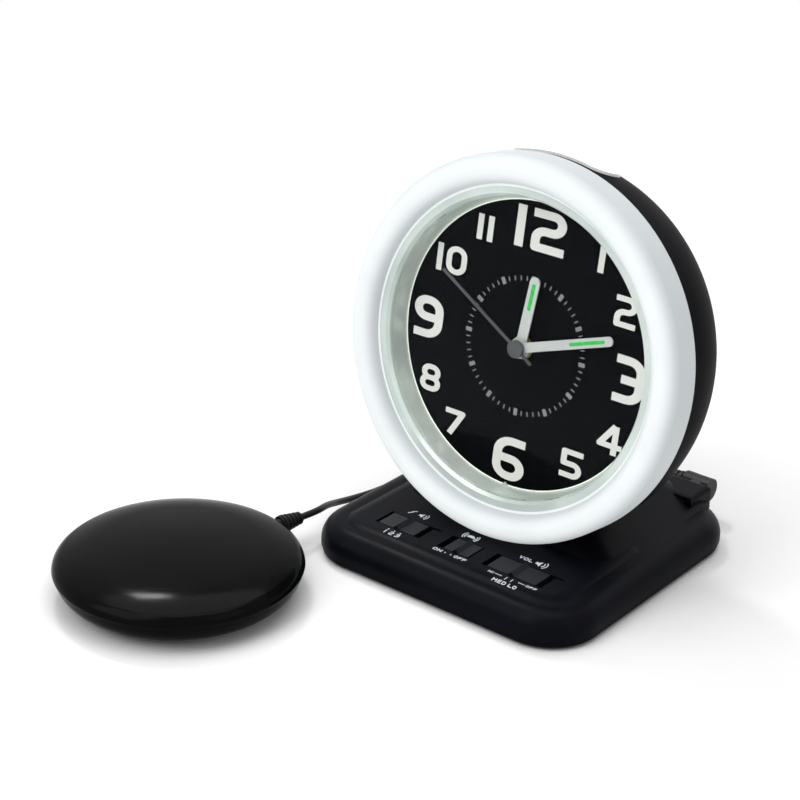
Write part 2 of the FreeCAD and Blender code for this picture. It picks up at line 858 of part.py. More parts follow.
node("rear_cover_screws", on_head(group("rear_cover_screws", cover_screws)))

speaker = turned("speaker_turn", [
    (0, 0), (d.speaker_radius, 0), (d.speaker_radius, d.speaker_lug), (d.magnet_radius, d.speaker_deep - d.magnet_deep),
    (d.magnet_radius, d.speaker_deep), (0, d.speaker_deep)])
place(speaker, 0, d.speaker_place, -cover_seat)
node("speaker", on_head(group("speaker", [speaker])))

# Battery cell, contacts and the hinged door
cell_z = -cover_seat + d.box_clear + d.cell_radius
cell_can = cylinder("cell_can", d.cell_radius, d.cell_long, -cell_half, -d.battery_low, cell_z, Vector(0, 1, 0), 90)
cell_nub = cylinder("cell_nub", d.cell_nub, d.cell_nub_long, cell_half, -d.battery_low, cell_z, Vector(0, 1, 0), 90)
node("battery_cell", on_head(fuse("battery_cell", [cell_can, cell_nub])))
contact_reach = d.cell_radius * 0.6
contact_in = box_half - d.box_wall
contacts = []
for side, gap in ((1, d.cell_nub_long), (-1, Size(0.0, "0"))):
    inner = cell_half + gap
    if side > 0:
        span = (inner, contact_in)
    else:
        span = (-contact_in, -inner)
    contacts.append(block("battery_contact", span[0], span[1], -d.battery_low - contact_reach,
                          -d.battery_low + contact_reach, cell_z - contact_reach, cell_z + contact_reach))
node("battery_contacts", on_head(group("battery_contacts", contacts)))

door_plate = block("door_plate", -door_half, door_half, door_axis_y, -d.battery_low + door_reach,
                   -d.case_back, -d.case_back + d.door_thick)
door_roll = cylinder("door_roll", d.door_axis_radius, door_half * 2, -door_half, door_axis_y, door_axis_z,
                     Vector(0, 1, 0), 90)
door_pins = cylinder("door_pins", d.door_pin, (door_half + d.door_pin_long) * 2, -door_half - d.door_pin_long,
                     door_axis_y, door_axis_z, Vector(0, 1, 0), 90)
node("battery_door", on_head(fuse("battery_door", [door_plate, door_roll, door_pins])))

# Snooze button: a cap that follows the drum, with a lip under the drum's wall and a post to its switch
button_low = -d.cap_floor
button_prism = plate("button_prism", oval(d.button_half, d.button_front, button_back, d.button_round),
                     -(d.case_radius + d.overrun), button_low, "XZ_Plane")
lip_prism = plate("lip_prism", oval(d.button_half + d.lip_wide, d.lip_front, button_back + d.lip_wide, d.button_round),
                  -(d.case_radius + d.overrun), button_low, "XZ_Plane")


def drum_form(label, radius, deep_radius, arc, deep):
    """The drum's round form moved out or in."""
    return turned(label, [(0, d.seam_front), (0, -deep), (deep_radius, -deep, arc), (radius, -d.drum_end),
                          (radius, d.seam_front)])


button_out = drum_form("button_out", d.case_radius + d.button_proud, d.bowl_radius + d.button_proud,
                       bowl_out_radius + d.button_proud, d.bowl_end)
lip_out = drum_form("lip_out", inner_radius - d.lip_gap, d.bowl_inner - d.lip_gap, bowl_in_radius - d.lip_gap, wall_front)
lip_in_step = d.lip_gap + d.lip_thick
lip_hollow = drum_form("lip_hollow", inner_radius - lip_in_step, d.bowl_inner - lip_in_step,
                       bowl_in_radius - lip_in_step, wall_front)
button_cap = common("button_cap", button_prism, button_out)
button_lip = common("button_lip", lip_prism, lip_out)
button_shell = cut("button_shell", fuse("button_outer", [button_cap, button_lip]), [lip_hollow])
post_top = d.case_radius + d.button_proud - d.button_shell / 2
post_low = d.shelf_top + d.tact_high + d.plunger_up
button_z = -(d.button_front + d.button_deep / 2)
post = cylinder("button_post", d.post_radius, post_top - post_low, 0, post_low, button_z, turn=-90)
node("snooze_button", on_head(fuse("snooze_button", [button_shell, post])))

tact_body = block("tact_body", -d.tact_half, d.tact_half, d.shelf_top, d.shelf_top + d.tact_high,
                  button_z - d.tact_half, button_z + d.tact_half)
tact_bore = cylinder("tact_bore", d.plunger_radius + d.fit_gap, d.overrun, 0, d.shelf_top, button_z, turn=-90)
node("snooze_switch", on_head(cut("snooze_switch", tact_body, [tact_bore])))
plunger_start = d.shelf_top + d.plunger_low
plunger = cylinder("plunger_rod", d.plunger_radius, post_low - plunger_start, 0, plunger_start, button_z, turn=-90)
node("snooze_plunger", on_head(group("snooze_plunger", [plunger])))


# Hands: each a flat blade on a hub, turned to its photographed angle

def blade(name, width, reach, tail, hub, low, thick, angle, bore):
    half = width / 2
    body = plate(name + "_blade", [(-half, -tail), (half, -tail), (half, reach - half, half),
                                   (0, reach, half), (-half, reach - half)], low, low + thick)
    hub_disc = cylinder(name + "_hub", hub, thick, 0, 0, low)
    whole = fuse(name + "_whole", [body, hub_disc])
    if bore is not None:
        whole = cut(name + "_bored", whole, [cylinder(name + "_bore", bore, d.overrun, 0, 0, low - d.overrun / 2)])
    whole.Placement = FreeCAD.Placement(Vector(), FreeCAD.Rotation(Vector(0, 0, 1), -float(angle)))
    whole.setExpression(".Placement.Rotation.Angle", "0 - " + angle.text)
    return whole


zero = Size(0.0, "0")
alarm_hand = blade("alarm", d.alarm_width, d.alarm_reach, zero, d.alarm_hub, d.alarm_plane, d.hand_thick,
                   d.alarm_angle, d.alarm_tube)
node("alarm_hand", on_head(group("alarm_hand", [alarm_hand])))
hour_hand = blade("hour", d.hour_width, d.hour_reach, zero, d.hour_hub, d.hour_plane, d.hand_thick,
                  d.hour_angle, d.hour_tube)
node("hour_hand", on_head(group("hour_hand", [hour_hand])))
minute_hand = blade("minute", d.minute_width, d.minute_reach, zero, d.minute_hub, d.minute_plane, d.hand_thick,
                    d.minute_angle, d.minute_tube)
node("minute_hand", on_head(group("minute_hand", [minute_hand])))
second_hand = blade("second", d.second_width, d.second_reach, d.second_tail, d.second_hub, d.second_plane,
                    d.hand_thick, d.second_angle, None)
second_top = cylinder("second_top", d.second_hub, d.second_cap, 0, 0, d.second_plane + d.hand_thick)
second_bore = cylinder("second_bore", d.second_shaft, d.hand_thick, 0, 0, d.second_plane)
node("second_hand", on_head(cut("second_hand", fuse("second_both", [second_hand, second_top]), [second_bore])))


# Movement: plate with bushing, back shell, and the train of toothed wheels

plate_back = deck_back + d.plate_thick
movement_back = plate_back + d.movement_deep
floor_front = movement_back - d.movement_wall


def gear(name, teeth, mod, low, high, x, y, phase, bore=None):
    """A toothed disc about an axis at x, y, with one tooth at the phase angle in degrees."""
    mod, low, high = float(mod), float(low), float(high)
    pitch, tip, root = teeth * mod / 2, teeth * mod / 2 + 0.75 * mod, teeth * mod / 2 - 1.05 * mod
    half = 0.19 * math.pi * mod
    points = []
    for i in range(teeth):
        middle = math.radians(phase + 360.0 * i / teeth)
        for radius, wide in ((root, half + 0.38 * mod), (tip, half - 0.26 * mod),
                             (tip, -half + 0.26 * mod), (root, -half - 0.38 * mod)):
            turn = middle - wide / radius
            points.append(Vector(radius * math.cos(turn), radius * math.sin(turn), low))
    wire = Part.makePolygon(points + points[:1])
    solid = Part.Face(wire).extrude(Vector(0, 0, high - low))
    if bore is not None:
        hole = Part.makeCylinder(float(bore), high - low, Vector(0, 0, low))
        solid = solid.cut(hole)
    solid.translate(Vector(float(x), float(y), 0))
    return solid


half_turn = 180.0


def meshed(phase, teeth, other_teeth, direction):
    """Phase of a wheel that meshes with a wheel of the given phase, in the given direction."""
    step = 360.0 / teeth
    offset = (direction - phase) % step
    return direction + half_turn + offset * teeth / other_teeth + half_turn / other_teeth


def rod(radius, low, high, x=0.0, y=0.0):
    return Part.makeCylinder(float(radius), float(high) - float(low), Vector(float(x), float(y), float(low)))


def wheel(name, shapes):
    """One arbor with its wheels as a single solid, read from the sheet."""
    solid = shapes[0]
    for other in shapes[1:]:
        solid = solid.fuse(other)
    feature = doc.addObject("Part::Feature", name)
    feature.Shape = solid.removeSplitter()
    node(name, on_head(feature))
    return feature


def level(count, share=0.0):
    """Depth of a wheel's layer below the plate, counted in wheel thicknesses."""
    return -(float(plate_back) + float(d.thick_wheel) * 0.25 + float(d.wheel_thick) * 2 * count) - share


third_spot = (0.0, float(d.centre_distance_third))
minute_wheel_x = float(module) * 20
intermediate_distance = float(module) * 28
middle_angle, rotor_angle = -110.0, -60.0
middle_turn = math.radians(middle_angle)
middle_spot = (intermediate_distance * math.cos(middle_turn), intermediate_distance * math.sin(middle_turn))
rotor_turn = math.radians(rotor_angle)
rotor_distance = float(fine) * 24
rotor_spot = (middle_spot[0] + rotor_distance * math.cos(rotor_turn),
              middle_spot[1] + rotor_distance * math.sin(rotor_turn))

thin = float(d.wheel_thick)
thick = float(d.thick_wheel)
gap = float(d.fit_gap)
start = float(plate_back)
alarm_top = -start - thick / 4
hour_top = alarm_top - thick - thin
minute_wheel_top = hour_top - thick * 2
centre_top = minute_wheel_top - thick - thin
third_top = centre_top - thin * 2
second_top_z = third_top - thin * 2
middle_top = second_top_z - thin * 2
back_pivot = -float(floor_front) - float(d.pivot_deep) + gap
front_pivot = -start + float(d.pivot_deep) - gap

# alarm wheel on its tube, and the pinion on the alarm stem
alarm_phase = 0.0
wheel("alarm_wheel", [
    gear("alarm", 30, module, alarm_top - thick, alarm_top, 0, 0, alarm_phase, d.hour_tube + gap),
    rod(d.alarm_tube, alarm_top, float(d.alarm_plane) + float(d.hand_thick)).cut(
        rod(float(d.hour_tube) + gap, alarm_top, float(d.alarm_plane) + float(d.hand_thick)))])
stem_end = -float(d.case_back) - float(d.knob_gap) - float(d.knob_bore_deep)
wheel("alarm_stem", [
    gear("alarm_pinion", 30, module, alarm_top - thick, alarm_top, alarm_x, 0,
         meshed(alarm_phase, 30, 30, half_turn)),
    rod(d.stem_radius, -float(movement_back) - gap * 4, front_pivot, alarm_x, 0),
    rod(d.stem_big, stem_end, -float(movement_back) - gap * 4, alarm_x, 0)])

# hour wheel on its tube
hour_phase = 0.0
wheel("hour_wheel", [
    gear("hour", 32, module, hour_top - thick, hour_top, 0, 0, hour_phase, d.minute_tube + gap),
    rod(d.hour_tube, hour_top, float(d.hour_plane) + float(d.hand_thick)).cut(
        rod(float(d.minute_tube) + gap, hour_top, float(d.hour_plane) + float(d.hand_thick)))])

# cannon pinion and centre wheel on the minute tube
cannon_phase = 0.0
minute_low = centre_top - thin - thick / 4
shaft_way = float(d.second_shaft) + gap
tube = rod(d.minute_tube, minute_low, float(d.minute_plane) + float(d.hand_thick))
minute_solids = [
    tube, gear("cannon", 10, module, minute_wheel_top - thick - thin / 3, minute_wheel_top + thin / 3, 0, 0, cannon_phase),
    gear("centre", 64, third_gear_module, centre_top - thin, centre_top, 0, 0,
         meshed(0.0, 8, 64, -90.0))]
minute_solid = minute_solids[0].fuse(minute_solids[1]).fuse(minute_solids[2])
minute_solid = minute_solid.cut(rod(shaft_way, minute_low - thin, float(d.minute_plane) + thick))
wheel("minute_arbor", [minute_solid])

# minute wheel, turning on its stud, and the setting stem
minute_wheel_phase = meshed(cannon_phase, 10, 30, 0.0)
wheel("minute_wheel", [
    gear("minute_wheel", 30, module, minute_wheel_top - thick, minute_wheel_top, minute_wheel_x, 0, minute_wheel_phase),
    gear("minute_pinion", 8, module, minute_wheel_top - thick / 2, hour_top + thin / 3, minute_wheel_x, 0,
         meshed(hour_phase, 32, 8, 0.0))])
stud_way = rod(float(d.stud_radius) + gap, minute_wheel_top - thick * 2, hour_top + thick, minute_wheel_x, 0)
bored = doc.getObject("minute_wheel")
bored_shape = bored.Shape.copy()
bored_shape.Placement = FreeCAD.Placement()
bored.Shape = bored_shape.cut(stud_way)
on_head(bored)
wheel("setting_stem", [
    gear("setting", 12, module, minute_wheel_top - thick - thin / 3, minute_wheel_top + thin / 3, setting_x, 0,
         meshed(minute_wheel_phase, 30, 12, 0.0)),
    rod(d.stem_radius, -float(movement_back) - gap * 4, front_pivot, setting_x, 0),
    rod(d.stem_big, stem_end, -float(movement_back) - gap * 4, setting_x, 0)])

# third wheel: its pinion drives the centre wheel, the second pinion drives it
second_pinion_phase = 0.0
third_phase = meshed(second_pinion_phase, 8, 60, 90.0)
wheel("third_wheel", [
    rod(d.pivot_radius, back_pivot, front_pivot, *third_spot),
    gear("third", 60, fine, third_top - thin, third_top, third_spot[0], third_spot[1], third_phase),
    gear("third_pinion", 8, third_gear_module, centre_top - thin * 1.2, centre_top + thin / 3,
         third_spot[0], third_spot[1], 0.0)])

# second arbor
second_wheel_phase = 0.0
wheel("second_arbor", [
    rod(d.second_shaft, back_pivot, float(d.second_plane) + float(d.hand_thick)),
    gear("second_pinion", 8, fine, third_top - thin * 1.2, third_top + thin / 3, 0, 0, second_pinion_phase),
    gear("second_wheel", 48, module, second_top_z - thin, second_top_z, 0, 0, second_wheel_phase)])

# intermediate wheel and rotor
middle_pinion_phase = meshed(second_wheel_phase, 48, 8, middle_angle)
middle_phase = 0.0
wheel("intermediate_wheel", [
    rod(d.pivot_radius, back_pivot, front_pivot, *middle_spot),
    gear("middle_pinion", 8, module, second_top_z - thin * 1.3, second_top_z + thin / 3, middle_spot[0],
         middle_spot[1], middle_pinion_phase),
    gear("middle", 40, fine, middle_top - thin, middle_top, middle_spot[0], middle_spot[1], middle_phase)])
magnet_low = second_top_z - thin
wheel("rotor", [
    rod(d.pivot_radius, back_pivot, front_pivot, *rotor_spot),
    gear("rotor_pinion", 8, fine, middle_top - thin * 1.3, middle_top + thin / 3, rotor_spot[0], rotor_spot[1],
         meshed(middle_phase, 40, 8, rotor_angle)),
    rod(d.rotor_radius, magnet_low, magnet_low + float(d.rotor_long), *rotor_spot)])

# front plate with the bushing and the stud
plate_box = block("plate_box", -d.movement_half, d.movement_half, -d.movement_half, d.movement_half,
                  -plate_back, -deck_back)
bushing = cylinder("bushing", d.bushing_out, deck_back + d.plate_thick / 2 + d.bushing_up, 0, 0, -deck_back - d.plate_thick / 2)
stud_low = minute_wheel_top - thick - thin / 3
stud = cylinder("stud", d.stud_radius, Size(-stud_low, str(-stud_low)) - deck_back - d.plate_thick / 2,
                minute_wheel_x, 0, stud_low)
bushing_way = cylinder("bushing_way", d.alarm_tube + d.fit_gap, d.overrun, 0, 0, -plate_back - d.overrun / 2)
front_holes = [bushing_way]
for spot, radius in ((third_spot, d.pivot_radius), (middle_spot, d.pivot_radius), (rotor_spot, d.pivot_radius),
                     ((float(setting_x), 0.0), d.stem_radius), ((float(alarm_x), 0.0), d.stem_radius)):
    front_holes.append(cylinder("plate_pivot_hole", radius + d.fit_gap, d.pivot_deep, spot[0], spot[1], -plate_back))
for sx in (-1, 1):
    for sy in (-1, 1):
        front_holes.append(cylinder("plate_screw_hole", d.movement_screw + d.fit_gap, d.overrun,
                                    d.post_place * sx, d.post_place * sy, -plate_back - d.overrun / 2))
node("movement_plate", on_head(cut("movement_plate", fuse("plate_joined", [plate_box, bushing, stud]), front_holes)))

# back shell
shell_outer = block("shell_outer", -d.movement_half, d.movement_half, -d.movement_half, d.movement_half,
                    -movement_back, -plate_back)
inner_half = d.movement_half - d.movement_wall
shell_inner = block("shell_inner", -inner_half, inner_half, -inner_half, inner_half, -floor_front,
                    -plate_back + d.overrun)
posts, back_holes, movement_screws = [], [], []
for sx in (-1, 1):
    for sy in (-1, 1):
        px, py = d.post_place * sx, d.post_place * sy
        posts.append(cylinder("corner_post", d.corner_post, movement_back - plate_back, px, py, -movement_back))
        back_holes.append(cylinder("shell_screw_hole", d.movement_screw + d.fit_gap, d.overrun, px, py,
                                   -plate_back - d.overrun / 2))
        shank = cylinder("movement_shank", d.movement_screw, movement_back - deck_back + d.deck_thick * 0.7,
                         px, py, -movement_back)
        head = cylinder("movement_head", d.movement_screw_head, d.movement_screw_high, px, py,
                        -movement_back - d.movement_screw_high)
        movement_screws.append(fuse("movement_screw", [shank, head]))
for spot in (third_spot, middle_spot, rotor_spot, (0.0, 0.0)):
    radius = d.second_shaft if spot == (0.0, 0.0) else d.pivot_radius
    back_holes.append(cylinder("shell_pivot_hole", radius + d.fit_gap, d.pivot_deep, spot[0], spot[1],
                               -floor_front - d.pivot_deep))
for x in (setting_x, alarm_x):
    back_holes.append(cylinder("shell_stem_hole", d.stem_radius + d.fit_gap, d.overrun, x, 0,
                               -movement_back - d.overrun / 2))
movement_hollow = cut("movement_hollow", shell_outer, [shell_inner])
node("movement_back", on_head(cut("movement_back", fuse("back_joined", [movement_hollow] + posts), back_holes)))
node("movement_screws", on_head(group("movement_screws", movement_screws)))

# stator and coil of the step motor
stator_mid = magnet_low + float(d.rotor_long) / 2
stator_low = stator_mid - float(d.stator_thick) / 2
reach = float(d.stator_half)
arm = float(d.stator_arm)
core_y = -float(d.coil_place)
top_y = rotor_spot[1] + float(d.rotor_radius) + float(d.stator_gap) + arm / 2
outer_plate = Part.makeBox(reach * 2, top_y - core_y + arm / 2, float(d.stator_thick),
                           Vector(-reach, core_y - arm / 2, stator_low))
inner_gap = Part.makeBox((reach - arm) * 2, rotor_spot[1] - float(d.rotor_radius) - core_y,
                         thick * 4, Vector(-(reach - arm), core_y - arm, stator_low - thick))
rotor_way = rod(float(d.rotor_radius) + float(d.stator_gap), stator_low - thick, stator_low + thick * 3, *rotor_spot)
core = Part.makeCylinder(float(d.coil_core), reach * 2 - arm, Vector(-reach + arm / 2, core_y, stator_mid), Vector(1, 0, 0))
wheel("stator", [outer_plate.cut(inner_gap).cut(rotor_way), core])
coil_turn = cylinder("coil_turn", d.coil_radius, d.coil_long, -d.coil_long / 2, -d.coil_place, stator_mid, Vector(0, 1, 0), 90)
coil_way = cylinder("coil_way", d.coil_core + d.fit_gap, d.coil_long * 2, -d.coil_long, -d.coil_place, stator_mid,
                    Vector(0, 1, 0), 90)
node("motor_coil", on_head(cut("motor_coil", coil_turn, [coil_way])))


# Knobs on the stems
def knob(name, x):
    face = -(d.case_back + d.knob_gap)
    body = cylinder(name + "_body", d.knob_radius, d.knob_long, x, 0, face - d.knob_long)
    tools = [cylinder(name + "_bore", d.stem_big, d.knob_bore_deep, x, 0, face - d.knob_bore_deep)]
    for i in range(int(float(d.flute_count))):
        a = 2 * math.pi * i / float(d.flute_count)
        tools.append(cylinder(name + "_flute", d.flute_radius, d.overrun, x + d.knob_radius * math.cos(a),
                              d.knob_radius * math.sin(a), face - d.overrun))
    node(name, on_head(cut(name, body, tools)))


knob("time_set_knob", setting_x)
knob("alarm_set_knob", alarm_x)


# Base: a rounded square shell with the switch plateau and the neck under the drum

half_wide, half_long = d.base_wide / 2, d.base_long / 2


def pillow(label, inset, low, high, edge):
    body = new_body(label)
    pad(body, lambda s: outline(s, round_points(-half_wide + inset, half_wide - inset, -half_long + inset,
                                                half_long - inset, d.base_round - inset)), low, high)
    soften(body, at_height(high), edge)
    return body


base_outer = pillow("base_outer", zero, d.plate_top, d.base_top, d.base_edge)
base_cavity = pillow("base_cavity", d.shell_wall, d.plate_top - d.plate_low, d.ceiling, d.ceiling_edge)
plateau = new_body("plateau")
pad(plateau, lambda s: outline(s, round_points(-d.plateau_half, d.plateau_half, -d.plateau_front, d.plateau_back,
                                               d.plateau_round)), d.plate_top, d.plateau_high)
soften(plateau, at_height(d.plateau_high), d.plateau_edge)

neck = new_body("neck")
neck_sections = []
for low, half, front, back in ((d.neck_low, d.neck_low_half, d.neck_low_front, d.neck_low_back),
                               (d.neck_mid, d.neck_mid_half, d.neck_mid_front, d.neck_mid_back),
                               (d.neck_high, d.neck_high_half, d.neck_high_front, d.neck_high_back)):
    section = new_sketch(neck, "XY_Plane", low)
    outline(section, round_points(-half, half, -front, back, d.base_edge))
    neck_sections.append(section)
neck_loft = neck.newObject("PartDesign::AdditiveLoft", "neck_loft")
neck_loft.Profile = neck_sections[0]
neck_loft.Sections = neck_sections[1:]
neck_loft.Ruled = False
neck_root = block("neck_root", -d.neck_low_half + d.base_edge, d.neck_low_half - d.base_edge, -d.neck_low_front + d.base_edge,
                  d.neck_low_back - d.base_edge, d.ceiling, d.neck_low + d.ceiling_gap)

jack_block = new_body("jack_block")
pad(jack_block, lambda s: outline(s, box_points(d.jack_side - d.jack_block_half, d.jack_side + d.jack_block_half,
                                                d.jack_block_front, d.jack_block_back)),
    d.plate_top, d.jack_block_high)
soften(jack_block, at_height(d.jack_block_high), d.jack_block_edge)

bosses, boss_holes, base_screws, plate_holes = [], [], [], []
for sx in (-1, 1):
    for sy in (-1, 1):
        px, py = d.base_screw_place * sx, d.base_screw_place * sy
        bosses.append(cylinder("base_boss", d.base_boss, d.ceiling - d.plate_top, px, py, d.plate_top))
        boss_holes.append(cylinder("base_boss_hole", d.screw_shank + d.fit_gap, d.base_screw_long, px, py, d.plate_top))
        head = cylinder("base_screw_head", d.base_screw_head, d.base_head_high, px, py, d.plate_low)
        shank = cylinder("base_screw_shank", d.screw_shank, d.base_screw_long, px, py, d.plate_low + d.base_head_high)
        base_screws.append(fuse("base_screw", [head, shank]))
        plate_holes.append(cylinder("base_counterbore", d.base_screw_head + d.slide_gap, d.base_head_high,
                                    px, py, d.plate_low))
        plate_holes.append(cylinder("plate_way", d.screw_shank + d.slide_gap, d.overrun, px, py, d.plate_low))

WINDOWS = (("alarm", d.alarm_window_left, d.alarm_window_right, d.alarm_gap_left, d.alarm_gap_right, True),
           ("shake", d.shake_window_left, d.shake_window_right, d.shake_gap_left, d.shake_gap_right, False),
           ("volume", d.volume_window_left, d.volume_window_right, d.volume_gap_left, d.volume_gap_right, True))
window_back = -d.window_front + d.window_deep
window_tools = []
for name, left, right, gap_left, gap_right, hook in WINDOWS:
    window_tools.append(block(name + "_window", left, right, -d.window_front, window_back, d.plate_top, d.plateau_high + d.overrun))
    if hook:
        window_tools.append(block(name + "_hook", right, right + d.hook_long, window_back - d.hook_wide, window_back,
                                  d.plateau_high - d.hook_deep, d.plateau_high + d.overrun))

saddle = turned("saddle_form", [
    (0, d.seam_front), (0, -d.case_back - d.saddle_gap), (d.back_radius + d.saddle_gap, -d.case_back - d.saddle_gap),
    (d.bowl_radius + d.saddle_gap, -d.bowl_end, bowl_out_radius + d.saddle_gap),
    (d.case_radius + d.saddle_gap, -d.drum_end), (d.case_radius + d.saddle_gap, d.seam_front)])
on_head(saddle)
ring_way = cylinder("ring_way", d.ring_radius + d.slide_gap, d.overrun, 0, 0, d.seam_front - d.fit_gap)
on_head(ring_way)
ring_spot = head_point(0, 0, float(d.seam_front) - float(d.fit_gap))
ring_way.Placement = FreeCAD.Placement(ring_spot, ring_way.Placement.Rotation)

neck_boss_parts, neck_ways = [], []
for side in (-1, 1):
    x = d.neck_screw_side * side
    for made, radius, low, high in ((neck_boss_parts, d.neck_boss, d.neck_seat, d.case_radius - d.case_wall),
                                    (neck_ways, d.neck_screw_shank + d.slide_gap, d.neck_seat + d.overrun / 20, d.neck_screw_tip)):
        solid = cylinder("neck_boss_part", radius, low - high, x, 0, 0)
        spot = head_point(x, -float(low), -float(d.neck_screw_deep))
        turn = FreeCAD.Rotation(Vector(1, 0, 0), -float(d.head_tilt))
        solid.setExpression(".Placement.Base.x", None)
        solid.Placement = FreeCAD.Placement(spot, turn)
        made.append(solid)
neck_screws = []
for side in (-1, 1):
    x = d.neck_screw_side * side
    shank = cylinder("neck_shank", d.neck_screw_shank, d.neck_seat - d.neck_screw_tip - d.fit_gap, x, -d.neck_seat,
                     -d.neck_screw_deep, turn=-90)
    head = cylinder("neck_head", d.neck_screw_head, d.neck_head_high, x, -d.neck_seat - d.neck_head_high,
                    -d.neck_screw_deep, turn=-90)
    neck_screws.append(fuse("neck_screw", [shank, head]))
node("neck_screws", on_head(group("neck_screws", neck_screws)))

jack_in_back = d.jack_block_back - d.jack_wall
jack_space = block("jack_space", d.jack_side - d.jack_wide / 2 - d.jack_clear, d.jack_side + d.jack_wide / 2 + d.jack_clear,
                   jack_in_back - d.jack_long - d.jack_clear, jack_in_back, d.plate_top - d.plate_low,
                   d.jack_height + d.jack_high / 2 - d.jack_clear)
jack_hole = cylinder("jack_hole", d.plug_neck + d.plug_front_gap, d.overrun, d.jack_side, d.jack_block_back + d.overrun / 2,
                     d.jack_height, turn=90)
inlet_way = cylinder("inlet_way", d.inlet_mouth, d.overrun, d.inlet_side, half_long + d.overrun / 2, d.inlet_height, turn=90)

solid_base = cut("base_hollow", fuse("base_solid", [base_outer, plateau, neck, neck_root, jack_block]),
                 [base_cavity, jack_space])
neck_boss_in = fuse("neck_bosses", neck_boss_parts)
base_shell = cut("base_shell", fuse("base_with_bosses", [solid_base, neck_boss_in] + bosses),
                 [saddle, ring_way, jack_hole, inlet_way] + neck_ways + boss_holes + window_tools)
node("base_shell", base_shell)

bottom = new_body("bottom")
pad(bottom, lambda s: outline(s, round_points(-half_wide + d.plate_inset, half_wide - d.plate_inset,
                                              -half_long + d.plate_inset, half_long - d.plate_inset,
                                              d.base_round - d.plate_inset)), d.plate_low, d.plate_top)
soften(bottom, at_height(d.plate_low), d.plate_edge)
feet, foot_wells = [], []
for sx in (-1, 1):
    for sy in (-1, 1):
        px, py = d.foot_side * sx, d.foot_along * sy
        feet.append(cylinder("foot", d.foot_radius, d.foot_high, px, py, 0))
        foot_wells.append(cylinder("foot_well", d.foot_radius + d.fit_gap, d.foot_high - d.plate_low, px, py, d.plate_low))
stands = []
for px, py in ((-d.stand_side, -d.stand_front), (d.stand_side, -d.stand_front),
               (-d.stand_side, d.stand_back), (d.stand_side, d.stand_back)):
    stands.append(cylinder("board_stand", d.stand_radius, d.board_low - d.plate_top, px, py, d.plate_top))
base_plate = cut("base_plate", fuse("plate_with_stands", [bottom] + stands), plate_holes + foot_wells)
node("base_plate", base_plate)
node("base_screws", group("base_screws", base_screws))
node("rubber_feet", group("rubber_feet", feet))

# Main board with room for the neck screws' bosses, and the switch bodies on it
board_top_z = d.board_low + d.board_thick
board_body = block("board_body", -d.board_half, d.board_half, -d.board_front, d.board_back, d.board_low, board_top_z)
board_ways = []
for side in (-1, 1):
    spot = head_point(float(d.neck_screw_side) * side, -float(d.neck_seat), -float(d.neck_screw_deep))
    board_ways.append(cylinder("board_way", d.neck_boss + d.jack_clear, d.overrun, spot.x, spot.y, d.board_low - d.overrun / 2))
node("main_board", cut("main_board", board_body, board_ways))

window_middle = -d.window_front + d.window_deep / 2
cap_top = d.plateau_high - d.cap_top_drop
flange_top = d.ceiling - d.ceiling_gap
flange_low = flange_top - d.cap_flange_high
lever_low = board_top_z + d.switch_high - d.lever_dip
switch_bodies = []
for name, left, right, gap_left, gap_right, hook in WINDOWS:
    cap_left, cap_right = left + gap_left, right - gap_right
    front = -d.window_front + d.cap_side_gap
    back = window_back - d.slide_gap
    travel_left, travel_right = gap_left - d.window_end_gap, gap_right - d.window_end_gap
    crown = block(name + "_crown", cap_left, cap_right, front, back, flange_top - d.ceiling_gap, cap_top)
    flange = block(name + "_flange", left - d.cap_flange_out, right + d.cap_flange_out, front - d.cap_flange_out,
                   back + d.cap_flange_out, flange_low, flange_top)
    middle = (cap_left + cap_right) / 2
    lever = block(name + "_lever", middle - d.lever_wide / 2, middle + d.lever_wide / 2,
                  window_middle - d.lever_thick / 2, window_middle + d.lever_thick / 2, lever_low, flange_low + d.ceiling_gap)
    ridge = plate(name + "_ridge", [(middle - d.ridge_wide / 2, cap_top - d.ceiling_gap),
                                    (middle + d.ridge_wide / 2, cap_top - d.ceiling_gap),
                                    (middle, cap_top + d.ridge_high)], -back, -front, "XZ_Plane")
    cap = fuse(name + "_cap_whole", [crown, flange, lever, ridge])
    node(name + "_switch_cap", cap)
    seat_left = middle - d.lever_wide / 2 - travel_left - d.slide_gap
    seat_right = middle + d.lever_wide / 2 + travel_right + d.slide_gap
    case = block(name + "_switch_case", seat_left - d.switch_wall, seat_right + d.switch_wall,
                 window_middle - d.switch_wide / 2, window_middle + d.switch_wide / 2, board_top_z,
                 board_top_z + d.switch_high)
    slot = block(name + "_switch_slot", seat_left, seat_right, window_middle - d.lever_thick / 2 - d.slide_gap,
                 window_middle + d.lever_thick / 2 + d.slide_gap, lever_low - d.slide_gap, board_top_z + d.overrun)
    switch_bodies.append(cut(name + "_switch_body", case, [slot]))
node("switch_bodies", group("switch_bodies", switch_bodies))

# Jacks: the shaker's socket and the power inlet
jack_body = block("jack_body", d.jack_side - d.jack_wide / 2, d.jack_side + d.jack_wide / 2,
                  jack_in_back - d.jack_long, jack_in_back, d.plate_top, d.jack_height + d.jack_high / 2 - d.jack_clear * 2)
jack_bore = cylinder("jack_bore", d.sleeve_radius + d.slide_gap, d.sleeve_long + d.jack_wall, d.jack_side,
                     d.jack_block_back + d.slide_gap, d.jack_height, turn=90)
node("shaker_jack", cut("shaker_jack", jack_body, [jack_bore]))
inlet_back = half_long - d.shell_wall - d.inlet_inset
inlet_body = block("inlet_body", d.inlet_side - d.inlet_wide / 2, d.inlet_side + d.inlet_wide / 2,
                   inlet_back - d.inlet_long, inlet_back - d.slide_gap, d.plate_top, d.inlet_height + d.inlet_high / 2)
inlet_bore = cylinder("inlet_bore", d.inlet_hole, d.inlet_deep, d.inlet_side, inlet_back, d.inlet_height, turn=90)
